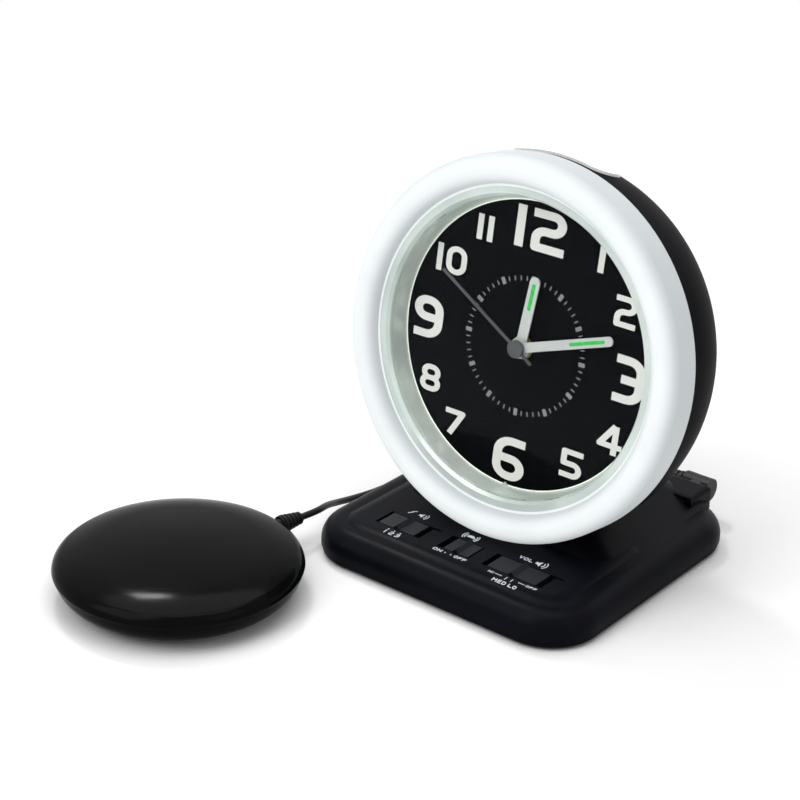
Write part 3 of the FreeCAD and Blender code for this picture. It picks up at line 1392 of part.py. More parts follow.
inlet_pin = cylinder("inlet_pin", d.inlet_pin, d.inlet_deep, d.inlet_side, inlet_back - d.slide_gap * 2, d.inlet_height, turn=90)
node("power_inlet", fuse("power_inlet", [cut("inlet_carved", inlet_body, [inlet_bore]), inlet_pin]))


# Shaker pad: two shells, motor with its off-centre weight, clip and screws (pad frame on the floor)

def on_pad(obj):
    return place(obj, d.pad_x, d.pad_y, 0)


crown_top = d.pad_high
shoulder_top = crown_top - d.pad_crown_drop


def arc_radius(dx, dz, sag_share):
    """Radius of an arc over a chord of given run and rise, with its sagitta as a share of the chord."""
    chord = math.hypot(float(dx), float(dz))
    sag = chord * sag_share
    return Size(chord * (1 / (8 * sag_share)) + sag / 2, repr(chord / (8 * sag_share) + sag / 2))


shoulder_z = crown_top - d.pad_shoulder_drop
TOP_SAG_SHARES = (0.0325, 0.12)
LOW_SAG_SHARES = (0.129, 0.061)
top_flat = bend_through(d.pad_crown_drop, d.pad_crown)
top_bend = arc_radius(d.pad_shoulder - d.pad_crown, d.pad_shoulder_drop - d.pad_crown_drop, TOP_SAG_SHARES[0])
top_side = arc_radius(d.pad_radius - d.pad_shoulder, shoulder_z - d.pad_equator, TOP_SAG_SHARES[1])
low_side = arc_radius(d.pad_seam_radius - d.pad_low_mid, d.pad_seam - d.pad_low_mid_up, LOW_SAG_SHARES[0])
low_bend = arc_radius(d.pad_low_mid - d.pad_foot, d.pad_low_mid_up, LOW_SAG_SHARES[1])
inner_top = crown_top - d.pad_shell
top_shell = turned("pad_top_turn", [
    (0, inner_top), (d.pad_crown - d.pad_shell, shoulder_top - d.pad_shell), (d.pad_shoulder - d.pad_shell, shoulder_z - d.pad_shell),
    (d.pad_radius - d.pad_shell, d.pad_equator), (d.pad_radius - d.pad_shell, d.pad_seam),
    (d.pad_seam_radius, d.pad_seam), (d.pad_radius, d.pad_equator, top_side),
    (d.pad_shoulder, shoulder_z, top_bend), (d.pad_crown, shoulder_top, top_flat), (0, crown_top)])
low_shell = turned("pad_low_turn", [
    (0, d.pad_shell), (0, 0), (d.pad_foot, 0, low_bend), (d.pad_low_mid, d.pad_low_mid_up, low_side),
    (d.pad_seam_radius - d.seam_gap, d.pad_seam), (d.pad_seam_radius - d.seam_gap - d.pad_shell, d.pad_seam),
    (d.pad_low_mid - d.pad_shell, d.pad_low_mid_up + d.pad_shell * 0.8), (d.pad_foot - d.pad_shell, d.pad_shell)])

relief_turn = float(d.relief_turn)
relief_way = Vector(math.cos(math.radians(relief_turn)), math.sin(math.radians(relief_turn)), 0)
relief_z = d.pad_equator + d.slide_gap


def along(obj, radius_from, height):
    """Lay a solid of the Z axis along the relief's direction, from a distance out of the pad's axis."""
    spot = relief_way * float(radius_from) + Vector(0, 0, float(height))
    obj.Placement = FreeCAD.Placement(spot, FreeCAD.Rotation(Vector(0, 0, 1), relief_way))
    return obj


relief_bore = cylinder("relief_bore", d.relief_root - d.pad_shell / 3, d.overrun)
along(relief_bore, float(d.pad_radius) - float(d.overrun) / 4, relief_z)
pad_screws, pad_bosses, pad_screw_ways, pad_low_ways = [], [], [], []
boss_foot = d.pad_shell + d.pad_boss_gap
for angle in (20.0, 140.0, 260.0):
    a = math.radians(angle)
    px, py = d.pad_screw_circle * math.cos(a), d.pad_screw_circle * math.sin(a)
    pad_bosses.append(cylinder("pad_boss", d.pad_boss, shoulder_top - d.pad_shell / 2 - boss_foot, px, py, boss_foot))
    pad_screw_ways.append(cylinder("pad_boss_hole", d.screw_shank + d.fit_gap, d.pad_screw_long, px, py, boss_foot))
    head = cylinder("pad_screw_head", d.pad_screw_head, d.pad_screw_head_high, px, py, 0)
    head.setExpression(".Placement.Base.z", d.slide_gap.text)
    shank = cylinder("pad_screw_shank", d.screw_shank, d.pad_screw_long, px, py, d.pad_screw_head_high)
    pad_screws.append(fuse("pad_screw", [head, shank]))
    pad_low_ways.append(cylinder("pad_counterbore", d.pad_screw_head + d.slide_gap,
                                 d.pad_screw_head_high + d.slide_gap, px, py, 0))
    pad_low_ways.append(cylinder("pad_screw_way", d.screw_shank + d.slide_gap, d.overrun, px, py, -d.overrun / 2))

# the lower shell's saddle carries the motor and a rib of the upper shell holds it down
motor_x = -d.motor_long / 2
motor_z = d.motor_height
cradle_half = d.motor_radius + d.clip_thick
motor_way = cylinder("motor_way", d.motor_radius + d.fit_gap, d.overrun * 2, -d.overrun, 0, motor_z, Vector(0, 1, 0), 90)
cradle = block("motor_cradle", motor_x + d.clip_thick, motor_x + d.clip_wide, -cradle_half, cradle_half,
               d.pad_shell / 2, motor_z - d.slide_gap)
rib = block("motor_rib", motor_x + d.clip_thick, motor_x + d.clip_wide, -cradle_half, cradle_half,
            motor_z + d.slide_gap, inner_top + d.slide_gap)
cradle_cut = cut("cradle_cut", cradle, [motor_way])
rib_way = cylinder("rib_way", d.motor_radius + d.fit_gap, d.overrun * 2, -d.overrun, 0, motor_z, Vector(0, 1, 0), 90)
rib_cut = cut("rib_cut", rib, [rib_way])
pad_top = cut("pad_top_cut", fuse("pad_top_joined", [top_shell, rib_cut] + pad_bosses), pad_screw_ways + [relief_bore])
node("pad_top_shell", on_pad(pad_top))
pad_low = cut("pad_low_cut", fuse("pad_low_joined", [low_shell, cradle_cut]), pad_low_ways + [relief_bore])
node("pad_bottom_shell", on_pad(pad_low))
node("pad_screws", on_pad(group("pad_screws", pad_screws)))
motor_can = cylinder("motor_can", d.motor_radius, d.motor_long, motor_x, 0, motor_z, Vector(0, 1, 0), 90)
shaft_bore = cylinder("motor_shaft_bore", d.motor_shaft + d.fit_gap, d.motor_long, motor_x + d.clip_thick, 0, motor_z,
                      Vector(0, 1, 0), 90)
node("pad_motor", on_pad(cut("pad_motor", motor_can, [shaft_bore])))
weight_start = d.motor_long / 2 + d.clip_thick
weight_disc = cylinder("weight_disc", d.weight_radius, d.weight_long, weight_start, 0, motor_z, Vector(0, 1, 0), 90)
weight_cut = block("weight_cut", weight_start - d.slide_gap, weight_start + d.weight_long + d.slide_gap,
                   -d.weight_radius - d.slide_gap, d.weight_radius + d.slide_gap, motor_z, motor_z + d.overrun)
weight_hub = cylinder("weight_hub", d.weight_hub, d.weight_long, weight_start, 0, motor_z, Vector(0, 1, 0), 90)
weight_shaft = cylinder("weight_shaft", d.motor_shaft, d.motor_shaft_long + d.motor_long - d.clip_thick * 2,
                        motor_x + d.clip_thick * 2, 0, motor_z, Vector(0, 1, 0), 90)
node("pad_weight", on_pad(fuse("pad_weight", [cut("weight_half", weight_disc, [weight_cut]), weight_hub, weight_shaft])))


def ribbed(name, root, tip, long, ribs, rib, inner_root):
    """A tapered sleeve with ribs about the Z axis, from a plain plug at its root."""
    pieces = [cylinder(name + "_plug", inner_root, d.pad_shell, 0, 0, -d.pad_shell),
              cone(name + "_taper", root, tip, long)]
    count = int(float(ribs))
    for i in range(count):
        share = (i + 0.6) / (count + 0.4)
        wide = root - (root - tip) * share + rib
        rise = long * share
        pieces.append(cylinder(name + "_rib", wide, long / (count * 2.4), 0, 0, rise))
    return fuse(name, pieces)


relief = ribbed("relief", d.relief_root, d.relief_tip, d.relief_long, d.relief_ribs, d.relief_rib, d.relief_root - d.pad_shell / 3 - d.fit_gap)
relief_out = d.pad_radius
along(relief, float(relief_out) + float(d.slide_gap), relief_z)
node("pad_strain_relief", on_pad(group("pad_strain_relief", [relief])))


# Cord: from the pad's relief along the floor, a coil behind the clock, then to the plug

def biarc(start, start_way, end, end_way):
    """Two arcs that leave along one direction and arrive along another."""
    chord = end - start
    both = start_way + end_way
    a = 2 * (1 - start_way.dot(end_way))
    b = 2 * chord.dot(both)
    c = -chord.dot(chord)
    if abs(a) < 1e-9:
        reach_out = -c / b if abs(b) > 1e-9 else chord.Length / 2
    else:
        reach_out = (-b + math.sqrt(b * b - 4 * a * c)) / (2 * a)
    joint = (start + end + (start_way - end_way) * reach_out) * 0.5
    made = []
    for p, way, q in ((start, start_way, joint), (end, end_way * -1, joint)):
        chord = q - p
        mid_way = (chord.normalize() + way).normalize() if chord.Length > 1e-9 else way
        chord = q - p
        half = chord.Length / 2
        bend = way.getAngle(chord)
        if bend < 1e-6:
            made.append(Part.LineSegment(p, q))
            continue
        radius = half / math.sin(bend)
        inward = (chord - way * chord.dot(way)).normalize()
        centre = p + inward * radius
        middle = centre + ((p + q) * 0.5 - centre).normalize() * radius
        made.append(Part.Arc(p, middle, q) if p == start else Part.Arc(q, middle, p))
    return made


cord = float(d.cord_thick)
floor_z = float(d.cord_floor)
pitch = float(d.loop_pitch)
inner_loop = float(d.loop_inner)
coil_centre = Vector(float(d.coil_x), float(d.coil_y), 0)
layers = 4
climb_room = float(d.climb_room)


def coil_points():
    """Half-turn points of the coil: bottom layer inward, then out, in and out again."""
    turns_in_layer = LOOPS_IN_A_LAYER * 2
    side, radius, height, drift = -1, inner_loop + pitch * LOOPS_IN_A_LAYER + climb_room, floor_z, -1
    marks = [(side, radius, height)]
    for layer in range(layers):
        last = layer == layers - 1
        for turn in range(turns_in_layer - (1 if last else 0)):
            beside_climb = (turn == 0 and layer > 0) or (turn == turns_in_layer - 1 and not last)
            side, radius = -side, radius + drift * (pitch / 2 + (climb_room if beside_climb else 0))
            marks.append((side, radius, height))
        if not last:
            side, height, drift = -side, height + pitch, -drift
            marks.append((side, radius, height))
    return marks


coil_marks = coil_points()
coil_edges = []
spots = [coil_centre + Vector(0, side * radius, height) for side, radius, height in coil_marks]
ways = [Vector(-side, 0, 0) for side, radius, height in coil_marks]
lead = cord
coil_edges.append(Part.LineSegment(spots[0] - ways[0] * lead, spots[0]))
for here, there, way, next_way in zip(spots, spots[1:], ways, ways[1:]):
    coil_edges += biarc(here, way, there, next_way)
coil_edges.append(Part.LineSegment(spots[-1], spots[-1] + ways[-1] * lead))
coil_start, coil_finish = spots[0] - ways[0] * lead, spots[-1] + ways[-1] * lead


def tube(edges, start, way):
    """A round tube along tangent edges."""
    path = Part.Wire([e.toShape() for e in edges])
    section = Part.Wire([Part.Circle(start, way, cord / 2).toShape()])
    swept = path.makePipeShell([section], True, False)
    solid = Part.Solid(swept) if swept.ShapeType != "Solid" else swept
    long = sum(e.length() for e in edges)
    print("tube volume share", round(solid.Volume / (math.pi * cord ** 2 / 4 * long), 5), "length", round(long, 1))
    return solid, long


def coil_gap(edges):
    """The least gap of the coil to itself, measured on points spread along it."""
    dots, run, step = [], 0.0, float(d.gauge_step)
    for e in edges:
        count = max(int(e.length() / step), 2)
        for i in range(count):
            t = e.FirstParameter + (e.LastParameter - e.FirstParameter) * i / count
            dots.append((run + e.length() * i / count, e.value(t)))
        run += e.length()
    bins, least = {}, pitch * 4
    for along_it, p in dots:
        key = (int(p.x // pitch), int(p.y // pitch), int(p.z // pitch))
        bins.setdefault(key, []).append((along_it, p))
    for (i, j, k), here in bins.items():
        near = [q for a in (-1, 0, 1) for b in (-1, 0, 1) for c in (-1, 0, 1)
                for q in bins.get((i + a, j + b, k + c), [])]
        for along_it, p in here:
            for other, q in near:
                if abs(other - along_it) > pitch * 4:
                    least = min(least, (p - q).Length)
    return least - cord


print("coil: least gap to itself", round(coil_gap(coil_edges), 3))
coil_solid, coil_length = tube(coil_edges, coil_start, ways[0])
cord_coil = doc.addObject("Part::Feature", "cord_coil")
cord_coil.Shape = coil_solid
node("cord_coil", cord_coil)

# hand-chosen routes of the two free stretches
relief_end = Vector(float(d.pad_x), float(d.pad_y), 0) + relief_way * (float(relief_out) + float(d.slide_gap) + float(d.relief_long))
relief_end.z = float(relief_z)
PAD_ROUTE = [(-61.6, -46.4, 11.3), (-65.0, -37.0, 9.0), (-68.8, -27.0, 5.0), (-71.0, -16.0, 2.0), (-72.0, -4.5, 1.3),
             (-71.6, 8.5, 1.3), (-70.3, 24.0, 1.3), (-66.0, 41.0, 1.3), (-58.0, 56.5, 1.3), (-48.0, 68.5, 1.3),
             (-36.5, 75.8, 1.3)]
PLUG_ROUTE = [(-11.0, 77.35, 10.6), (-2.0, 74.5, 11.2), (5.5, 68.6, 12.1), (12.1, 65.2, 12.5)]


def stretch(name, points):
    """A tube of straight runs joined by tangent arcs, each as large as its runs allow."""
    edges, radii = [], []
    at = points[0]
    for before, corner, after in zip(points, points[1:], points[2:]):
        come, go = corner - before, after - corner
        turn = come.getAngle(go)
        shorter = min(come.Length, go.Length)
        bend = 0.45 * shorter
        radii.append(round(bend / math.tan(turn / 2), 1))
        first = corner - come.normalize() * bend
        last = corner + go.normalize() * bend
        bisector = ((first - corner).normalize() + (last - corner).normalize()).normalize()
        centre = corner + bisector * (bend / math.tan(turn / 2) / math.cos(turn / 2))
        middle = centre - bisector * (bend / math.tan(turn / 2))
        edges.append(Part.LineSegment(at, first))
        edges.append(Part.Arc(first, middle, last))
        at = last
    edges.append(Part.LineSegment(at, points[-1]))
    print(name, "radii", radii)
    solid, long = tube(edges, points[0], (points[1] - points[0]).normalize())
    feature = doc.addObject("Part::Feature", name)
    feature.Shape = solid
    node(name, feature)
    return long


pad_points = [relief_end] + [Vector(*p) for p in PAD_ROUTE] + [coil_start]
pad_run = stretch("cord_pad_run", pad_points)
boot_end = Vector(float(d.plug_body_left) - float(d.boot_long), float(d.plug_back), float(d.jack_height))
plug_points = [coil_finish] + [Vector(*p) for p in PLUG_ROUTE] + [boot_end]
plug_run = stretch("cord_plug_run", plug_points)
print("cord length in all", round(pad_run + plug_run + coil_length, 1))

# Right-angle plug: sleeve into the socket, round body across it, ribbed boot to the left
plug_body = cylinder("plug_body", d.plug_body, d.plug_body_long, d.plug_body_left, d.plug_back, d.jack_height,
                     Vector(0, 1, 0), 90)
plug_neck = cylinder("plug_neck", d.plug_neck, d.plug_back - d.jack_block_back - d.plug_front_gap, d.jack_side, d.plug_back,
                     d.jack_height, turn=90)
plug_sleeve = cylinder("plug_sleeve", d.sleeve_radius, d.plug_back - d.jack_block_back + d.sleeve_long - d.jack_wall,
                       d.jack_side, d.plug_back, d.jack_height, turn=90)
boot = [cone("plug_boot", d.boot_root, d.boot_tip, d.boot_long, d.plug_body_left, d.plug_back, d.jack_height,
             Vector(0, 1, 0), -90)]
for i in range(int(float(d.boot_ribs))):
    share = (i + 0.5) / float(d.boot_ribs)
    wide = d.boot_root - (d.boot_root - d.boot_tip) * share + d.boot_rib
    boot.append(cylinder("boot_rib", wide, d.boot_long / (float(d.boot_ribs) * 2.2),
                         d.plug_body_left - d.boot_long * share, d.plug_back, d.jack_height, Vector(0, 1, 0), -90))
node("cord_plug", fuse("cord_plug", [plug_body, plug_neck, plug_sleeve] + boot))

doc.recompute()

# Check every object before anything is written
for obj in doc.Objects:
    for state in obj.State:
        if state in ("Invalid", "Error"):
            raise RuntimeError("%s did not build: %s" % (obj.Name, obj.State))
for name, obj in NODES:
    if obj.Shape.isNull() or not obj.Shape.isValid():
        raise RuntimeError("%s has no valid shape" % name)

for name, obj in NODES:
    obj.Shape.exportStep("parts/%s.step" % name)
    print(name, "solids", len(obj.Shape.Solids), "volume", round(obj.Shape.Volume, 1))
print("nodes", len(NODES))
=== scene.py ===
# %% [markdown]
# # Bed shaker alarm clock
# An alarm clock for people who hear badly: a glowing ring lights the dial, and a round pad on a cord
# shakes the bed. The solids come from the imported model. This script gives them their finish, prints the
# dial and the switch scales, lays the cord and sets up the camera and the light. Lengths here are metres
# in the model's own frame: the floor is z = 0 and the dial faces -Y. Sizes written in millimetres are
# multiplied by MM where they are used.

import math

import bpy
from mathutils import Matrix, Vector
from mathutils.geometry import delaunay_2d_cdt


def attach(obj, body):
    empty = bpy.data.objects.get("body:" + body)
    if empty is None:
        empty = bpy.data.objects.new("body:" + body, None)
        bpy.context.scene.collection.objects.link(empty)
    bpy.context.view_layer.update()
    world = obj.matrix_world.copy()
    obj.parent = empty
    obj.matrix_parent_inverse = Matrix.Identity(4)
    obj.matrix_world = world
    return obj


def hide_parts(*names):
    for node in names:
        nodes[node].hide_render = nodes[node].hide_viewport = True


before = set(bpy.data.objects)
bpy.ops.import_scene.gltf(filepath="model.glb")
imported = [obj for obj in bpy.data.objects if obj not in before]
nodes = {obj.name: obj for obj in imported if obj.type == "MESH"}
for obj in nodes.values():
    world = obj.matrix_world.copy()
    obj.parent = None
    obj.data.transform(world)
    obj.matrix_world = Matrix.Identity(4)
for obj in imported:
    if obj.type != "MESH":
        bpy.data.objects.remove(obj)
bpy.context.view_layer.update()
scene = bpy.context.scene
MM = 0.001

# %% [markdown]
# ## Camera
# The photograph looks down on the clock from its right front. A camera could be placed by eye, but the
# dial's marks, the ring, the drum and the base's outline give enough known points to work it out: where
# it stands, where it looks and how long its lens is. Its three directions become the columns of its
# matrix, so no angles are needed.

# %% Camera
LENS_MM, SENSOR_MM, NEAREST = 89.41, 36.0, 0.05
CAMERA_PLACE = Vector((370.2, -544.64, 361.85)) * MM
LOOKS_ALONG = Vector((-0.5629, 0.7126, -0.4188)).normalized()
ITS_RIGHT = Vector((0.7776, 0.6283, 0.0238))

camera = bpy.data.objects.new("camera", bpy.data.cameras.new("camera"))
scene.collection.objects.link(camera)
camera.data.sensor_width, camera.data.lens, camera.data.clip_start = SENSOR_MM, LENS_MM, NEAREST
right = (ITS_RIGHT - LOOKS_ALONG * ITS_RIGHT.dot(LOOKS_ALONG)).normalized()
up = right.cross(LOOKS_ALONG)
turn = Matrix((right, up, -LOOKS_ALONG)).transposed()
camera.matrix_world = Matrix.Translation(CAMERA_PLACE) @ turn.to_4x4()
scene.camera = camera
scene.view_settings.view_transform = "Standard"
print("camera", round(CAMERA_PLACE.length, 3), "m from the clock's foot, lens", LENS_MM, "mm")

# %% [markdown]
# ## Cord
# The pad's cord is a thin, limp lead, 2.6 mm thick. It leaves the pad's strain relief, comes down to the
# table beside the clock and passes behind it. What the photograph doesn't show is put away in a coil
# behind the clock, and the end goes into the socket at the base's rear. One smooth spline carries all of
# it: a few listed points for the runs, and a formula for the coil. A rope of short cylinders would show
# its joints, and a simulated cord would lie somewhere else each time.

# %% The runs beside and behind the clock, in millimetres
CORD_RADIUS = 1.3
RELIEF_TIP = (-63.013, -54.118, 11.3)
PAD_ROUTE = [(-61.6, -46.4, 11.3), (-65.0, -37.0, 9.0), (-68.8, -27.0, 4.8), (-69.6, -16.0, 2.0),
             (-67.6, -4.5, 1.3), (-66.2, 8.5, 1.3), (-65.8, 24.0, 1.3), (-64.0, 41.0, 1.3),
             (-57.4, 56.5, 1.3), (-48.0, 68.5, 1.3), (-36.5, 75.8, 1.3)]
PLUG_ROUTE = [(-11.0, 77.35, 10.6), (-2.0, 74.5, 11.2), (5.5, 68.6, 12.1), (12.1, 65.2, 12.5),
              (19.8, 65.2, 12.5)]

# %% The coil, layer on layer
COIL_MIDDLE = (-22.0, 97.0)
TURN_PITCH, INNER_RADIUS, CLIMB_ROOM = 3.1, 8.3, 0.5
TURNS_A_LAYER, LAYERS = 4, 4
POINTS_A_HALF_TURN = 6
ROUND_STEPS, STEPS_A_POINT = 5, 6


def coil_marks():
    """Half-turn points of the coil as side, radius and height: in, out, in and out again."""
    side, height, drift = -1, CORD_RADIUS, -1
    radius = INNER_RADIUS + TURN_PITCH * TURNS_A_LAYER + CLIMB_ROOM
    found = [(side, radius, height)]
    for layer in range(LAYERS):
        last = layer == LAYERS - 1
        for half_turn in range(TURNS_A_LAYER * 2 - (1 if last else 0)):
            after_climb = half_turn == 0 and layer > 0
            before_climb = half_turn == TURNS_A_LAYER * 2 - 1 and not last
            step = TURN_PITCH / 2 + (CLIMB_ROOM if after_climb or before_climb else 0)
            side, radius = -side, radius + drift * step
            found.append((side, radius, height))
        if not last:
            side, height, drift = -side, height + TURN_PITCH, -drift
            found.append((side, radius, height))
    return found


def coil_points():
    """Twelve control points a turn, set outwards so that the smooth line has the coil's radius."""
    found, half_marks = [], coil_marks()
    step = math.pi / POINTS_A_HALF_TURN
    outwards = 1 / (0.75 + 0.25 * math.cos(step))
    for (side, radius, height), (next_side, next_radius, next_height) in zip(half_marks, half_marks[1:]):
        middle = (side * radius + next_side * next_radius) / 2
        reach = abs(side * radius - next_side * next_radius) / 2 * outwards
        for i in range(POINTS_A_HALF_TURN):
            angle = step * (i + 0.5)
            rise = (1 - math.cos(angle)) / 2
            found.append((COIL_MIDDLE[0] - side * reach * math.sin(angle),
                          COIL_MIDDLE[1] + middle + side * reach * math.cos(angle),
                          height + (next_height - height) * rise))
    return found


# %% One spline for the whole cord
# The thickness is the bevel's depth times a point's own radius. That radius also widens the box that
# Blender measures, so it holds the real one in metres, and the depth is 1.
route = [RELIEF_TIP] + PAD_ROUTE + coil_points() + PLUG_ROUTE
line = bpy.data.curves.new("free_cord", "CURVE")
line.dimensions, line.use_fill_caps = "3D", True
line.bevel_depth, line.bevel_resolution, line.resolution_u = 1.0, ROUND_STEPS, STEPS_A_POINT
spline = line.splines.new("NURBS")
spline.points.add(len(route) - 1)
for spot, point in zip(spline.points, route):
    spot.co, spot.radius = (*(Vector(point) * MM), 1.0), CORD_RADIUS * MM
spline.order_u, spline.use_endpoint_u = 3, True
cord = bpy.data.objects.new("free_cord", line)
scene.collection.objects.link(cord)
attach(cord, "clock")
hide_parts("cord_pad_run", "cord_coil", "cord_plug_run")

# %% [markdown]
# ## Colours and nodes
# A colour picked from a picture is sRGB, while a shader counts in linear light, so one function turns the
# one into the other. A second function adds any node with its settings and links, which keeps each
# material readable as a short list. A pattern's scale is told by the real size of its grain in
# millimetres: Blender's scale counts repeats in a metre.

# %% Colour, node and scale helpers


def srgb(text):
    """A linear colour from an sRGB hex such as "1a2b3c"."""
    found = []
    for i in (0, 2, 4):
        v = int(text[i:i + 2], 16) / 255
        found.append(v / 12.92 if v <= 0.04045 else ((v + 0.055) / 1.055) ** 2.4)
    return (*found, 1.0)


def add(tree, kind, inputs=None, **settings):
    """A node of a kind, with plain values or links for its inputs."""
    node = tree.nodes.new(kind)
    for key, value in settings.items():
        setattr(node, key, value)
    for key, value in (inputs or {}).items():
        if isinstance(value, bpy.types.NodeSocket):
            tree.links.new(value, node.inputs[key])
        else:
            node.inputs[key].default_value = value
    return node


def repeats(size_mm):
    """The pattern scale for a grain or patch of this size."""
    return 1 / (size_mm * MM)


# Noise hardly leaves this range, so it is spread from here to the range that a shader needs.
NOISE_LOW, NOISE_HIGH = 0.3, 0.7


def start_material(name):
    """An empty material and the place on the piece, in metres."""
    material = bpy.data.materials.new(name)
    material.use_nodes = True
    tree = material.node_tree
    tree.nodes.clear()
    return material, tree, add(tree, "ShaderNodeTexCoord").outputs["Object"]


def cloudy(tree, where, patch_mm, one, two):
    """Two close shades that change in soft patches, and the patches from 0 to 1."""
    cloud = add(tree, "ShaderNodeTexNoise", {"Vector": where, "Scale": repeats(patch_mm), "Detail": 4.0})
    share = add(tree, "ShaderNodeMapRange", {"Value": cloud.outputs["Fac"], "From Min": NOISE_LOW,
                                             "From Max": NOISE_HIGH})
    tint = add(tree, "ShaderNodeMix", {"Factor": share.outputs["Result"], "A": srgb(one), "B": srgb(two)},
               data_type="RGBA")
    return tint.outputs["Result"], share.outputs["Result"]


print("a 0.4 mm grain repeats", round(repeats(0.4)), "times in a metre")

# %% [markdown]
# ## Moulded plastics
# The case, the base, the pad and the switch caps are black ABS, injection moulded. A mould is spark
# eroded or blasted, and leaves a fine grain that turns a sharp reflection into a soft sheen. An image
# could carry that grain, but a noise bump has no seams and no end. The real grain is about 0.1 mm, too
# fine for this picture, so it is drawn three to six times as coarse. Dark plastic looks black only
# if it mirrors little: the specular level is low on the satin pieces, and a little higher where the
# surface is polished.

# %% One moulded finish
PATCH_MM = 26.0
SMOOTHER, ROUGHER = 0.9, 1.12
GRAIN_HIGH_MM = 0.08


def moulded(name, colour, other, rough, grain_mm, depth, metal=0.0, specular=0.5):
    """Plastic, lacquer, ink or metal with two close shades, uneven roughness and a fine grain."""
    material, tree, where = start_material(name)
    tint, patches = cloudy(tree, where, PATCH_MM, colour, other)
    uneven = add(tree, "ShaderNodeMapRange", {"Value": patches, "To Min": rough * SMOOTHER,
                                              "To Max": rough * ROUGHER})
    grain = add(tree, "ShaderNodeTexNoise", {"Vector": where, "Scale": repeats(grain_mm), "Detail": 2.0})
    bump = add(tree, "ShaderNodeBump", {"Height": grain.outputs["Fac"], "Strength": depth,
                                        "Distance": GRAIN_HIGH_MM * MM})
    shader = add(tree, "ShaderNodeBsdfPrincipled", {
        "Base Color": tint, "Roughness": uneven.outputs["Result"], "Metallic": metal,
        "Normal": bump.outputs["Normal"], "Specular IOR Level": specular})
    add(tree, "ShaderNodeOutputMaterial", {"Surface": shader.outputs["BSDF"]})
    return material


# %% Black plastics
# The drum is blasted to a dull satin, so it shows hardly any highlight.
abs_satin = moulded("abs_black_satin", "08080a", "0c0c10", rough=0.5, grain_mm=0.31, depth=0.05,
                    specular=0.02)
# The base has the same grain. Its bluish tone is a painted reflection of the ring's light, and a soft
# sheen lies along its rounded edge.
abs_base_painted_ring_tint = moulded("abs_black_base", "08090d", "0c0d14", rough=0.36, grain_mm=0.31, depth=0.05,
                   specular=0.035)
# The pad comes from a smoother mould: one clear, soft-edged highlight lies on its dome.
abs_smooth = moulded("abs_black_smooth", "060607", "09090a", rough=0.15, grain_mm=0.31, depth=0.01,
                     specular=0.035)
# The switch caps are worn a shade greyer than the base around them.
abs_caps = moulded("abs_black_caps", "101116", "16171d", rough=0.36, grain_mm=0.36, depth=0.06,
                   specular=0.16)
# The movement's frame and the sockets are filled plastic, dull and slightly rough.
pbt_black = moulded("pbt_black", "151516", "1d1d1f", rough=0.5, grain_mm=0.5, depth=0.1)
# The lead's jacket, its relief and its plug are soft PVC, which is duller than ABS.
pvc_black = moulded("pvc_black", "0c0c0e", "131316", rough=0.42, grain_mm=0.55, depth=0.05, specular=0.2)
# Rubber feet: dull, with a coarse skin that shows from near.
rubber = moulded("rubber_black", "121212", "181818", rough=0.7, grain_mm=0.67, depth=0.2)
print("black plastics:", abs_satin.name, abs_base_painted_ring_tint.name, abs_smooth.name, abs_caps.name, pvc_black.name)

# %% White and cream plastics
# The snooze button is glossy white ABS, almost as bright as the paper behind it.
abs_white = moulded("abs_white", "f2f3f4", "fafafa", rough=0.32, grain_mm=0.38, depth=0.03)
# Clock wheels are acetal: waxy, off-white and a little uneven.
acetal = moulded("acetal_natural", "dcdacb", "e8e6da", rough=0.38, grain_mm=0.55, depth=0.05)
# The diodes' lenses are cast epoxy over a yellow phosphor.
epoxy_cream = moulded("epoxy_cream", "efe9c4", "f6f2da", rough=0.25, grain_mm=0.38, depth=0.08)
# Circuit boards: glass cloth under green lacquer. The weave is drawn as a 1.1 mm unevenness.
board_green = moulded("board_green", "1d4a2c", "265a36", rough=0.35, grain_mm=1.1, depth=0.05)

# %% [markdown]
# ## Metals
# Screws, contacts and switch frames are nickel-plated or blackened steel, the arbor and the pad's weight
# are brass, and the rotor and the speaker hold dark ferrite. Metals are fully metallic with the default
# IOR, and only their colour and roughness tell them apart. Their turning marks, 0.1 mm and finer, are
# drawn at 0.8 mm so that they show from near.

# %% Metals
steel = moulded("steel_nickel", "a9abad", "bfc1c3", rough=0.3, grain_mm=0.83, metal=1.0, depth=0.1)
steel_black = moulded("steel_blackened", "4a4b4d", "5c5d60", rough=0.36, grain_mm=0.83, metal=1.0, depth=0.1)
brass = moulded("brass_turned", "b08d4c", "c39f5c", rough=0.28, grain_mm=0.83, metal=1.0, depth=0.08)
ferrite = moulded("ferrite_dark", "2b2b2d", "343437", rough=0.55, grain_mm=0.67, depth=0.2)
print("metals:", steel.name, steel_black.name, brass.name, ferrite.name)

# %% [markdown]
# ## Lacquers and inks
# The dial is a sheet with a deep matt lacquer: it may not mirror the ring, or the numerals would lose
# their contrast. The hands are stamped aluminium, sprayed pale grey, dark grey and olive. Numerals and
# scales are screen printed, so their ink is thin, matt and a little warm.

# %% Lacquers and inks
dial_black = moulded("lacquer_black_matt", "040508", "07080c", rough=0.75, grain_mm=0.24, depth=0.0,
                     specular=0.03)
lacquer_pale = moulded("lacquer_pale_grey", "cfd1cf", "d9dad7", rough=0.42, grain_mm=0.38, depth=0.02)
lacquer_grey = moulded("lacquer_dark_grey", "4c4d4f", "5a5b5d", rough=0.4, grain_mm=0.38, depth=0.02,
                       metal=0.2)
lacquer_olive = moulded("lacquer_olive", "8f9038", "a3a448", rough=0.4, grain_mm=0.38, depth=0.02)
ink_white = moulded("ink_white", "f3f2ea", "f9f8f3", rough=0.6, grain_mm=0.38, depth=0.02)
ink_grey = moulded("ink_grey", "8d9092", "9c9fa0", rough=0.6, grain_mm=0.38, depth=0.02)
ink_pale = moulded("ink_pale_blue", "c6cbd0", "d2d6da", rough=0.6, grain_mm=0.38, depth=0.02)
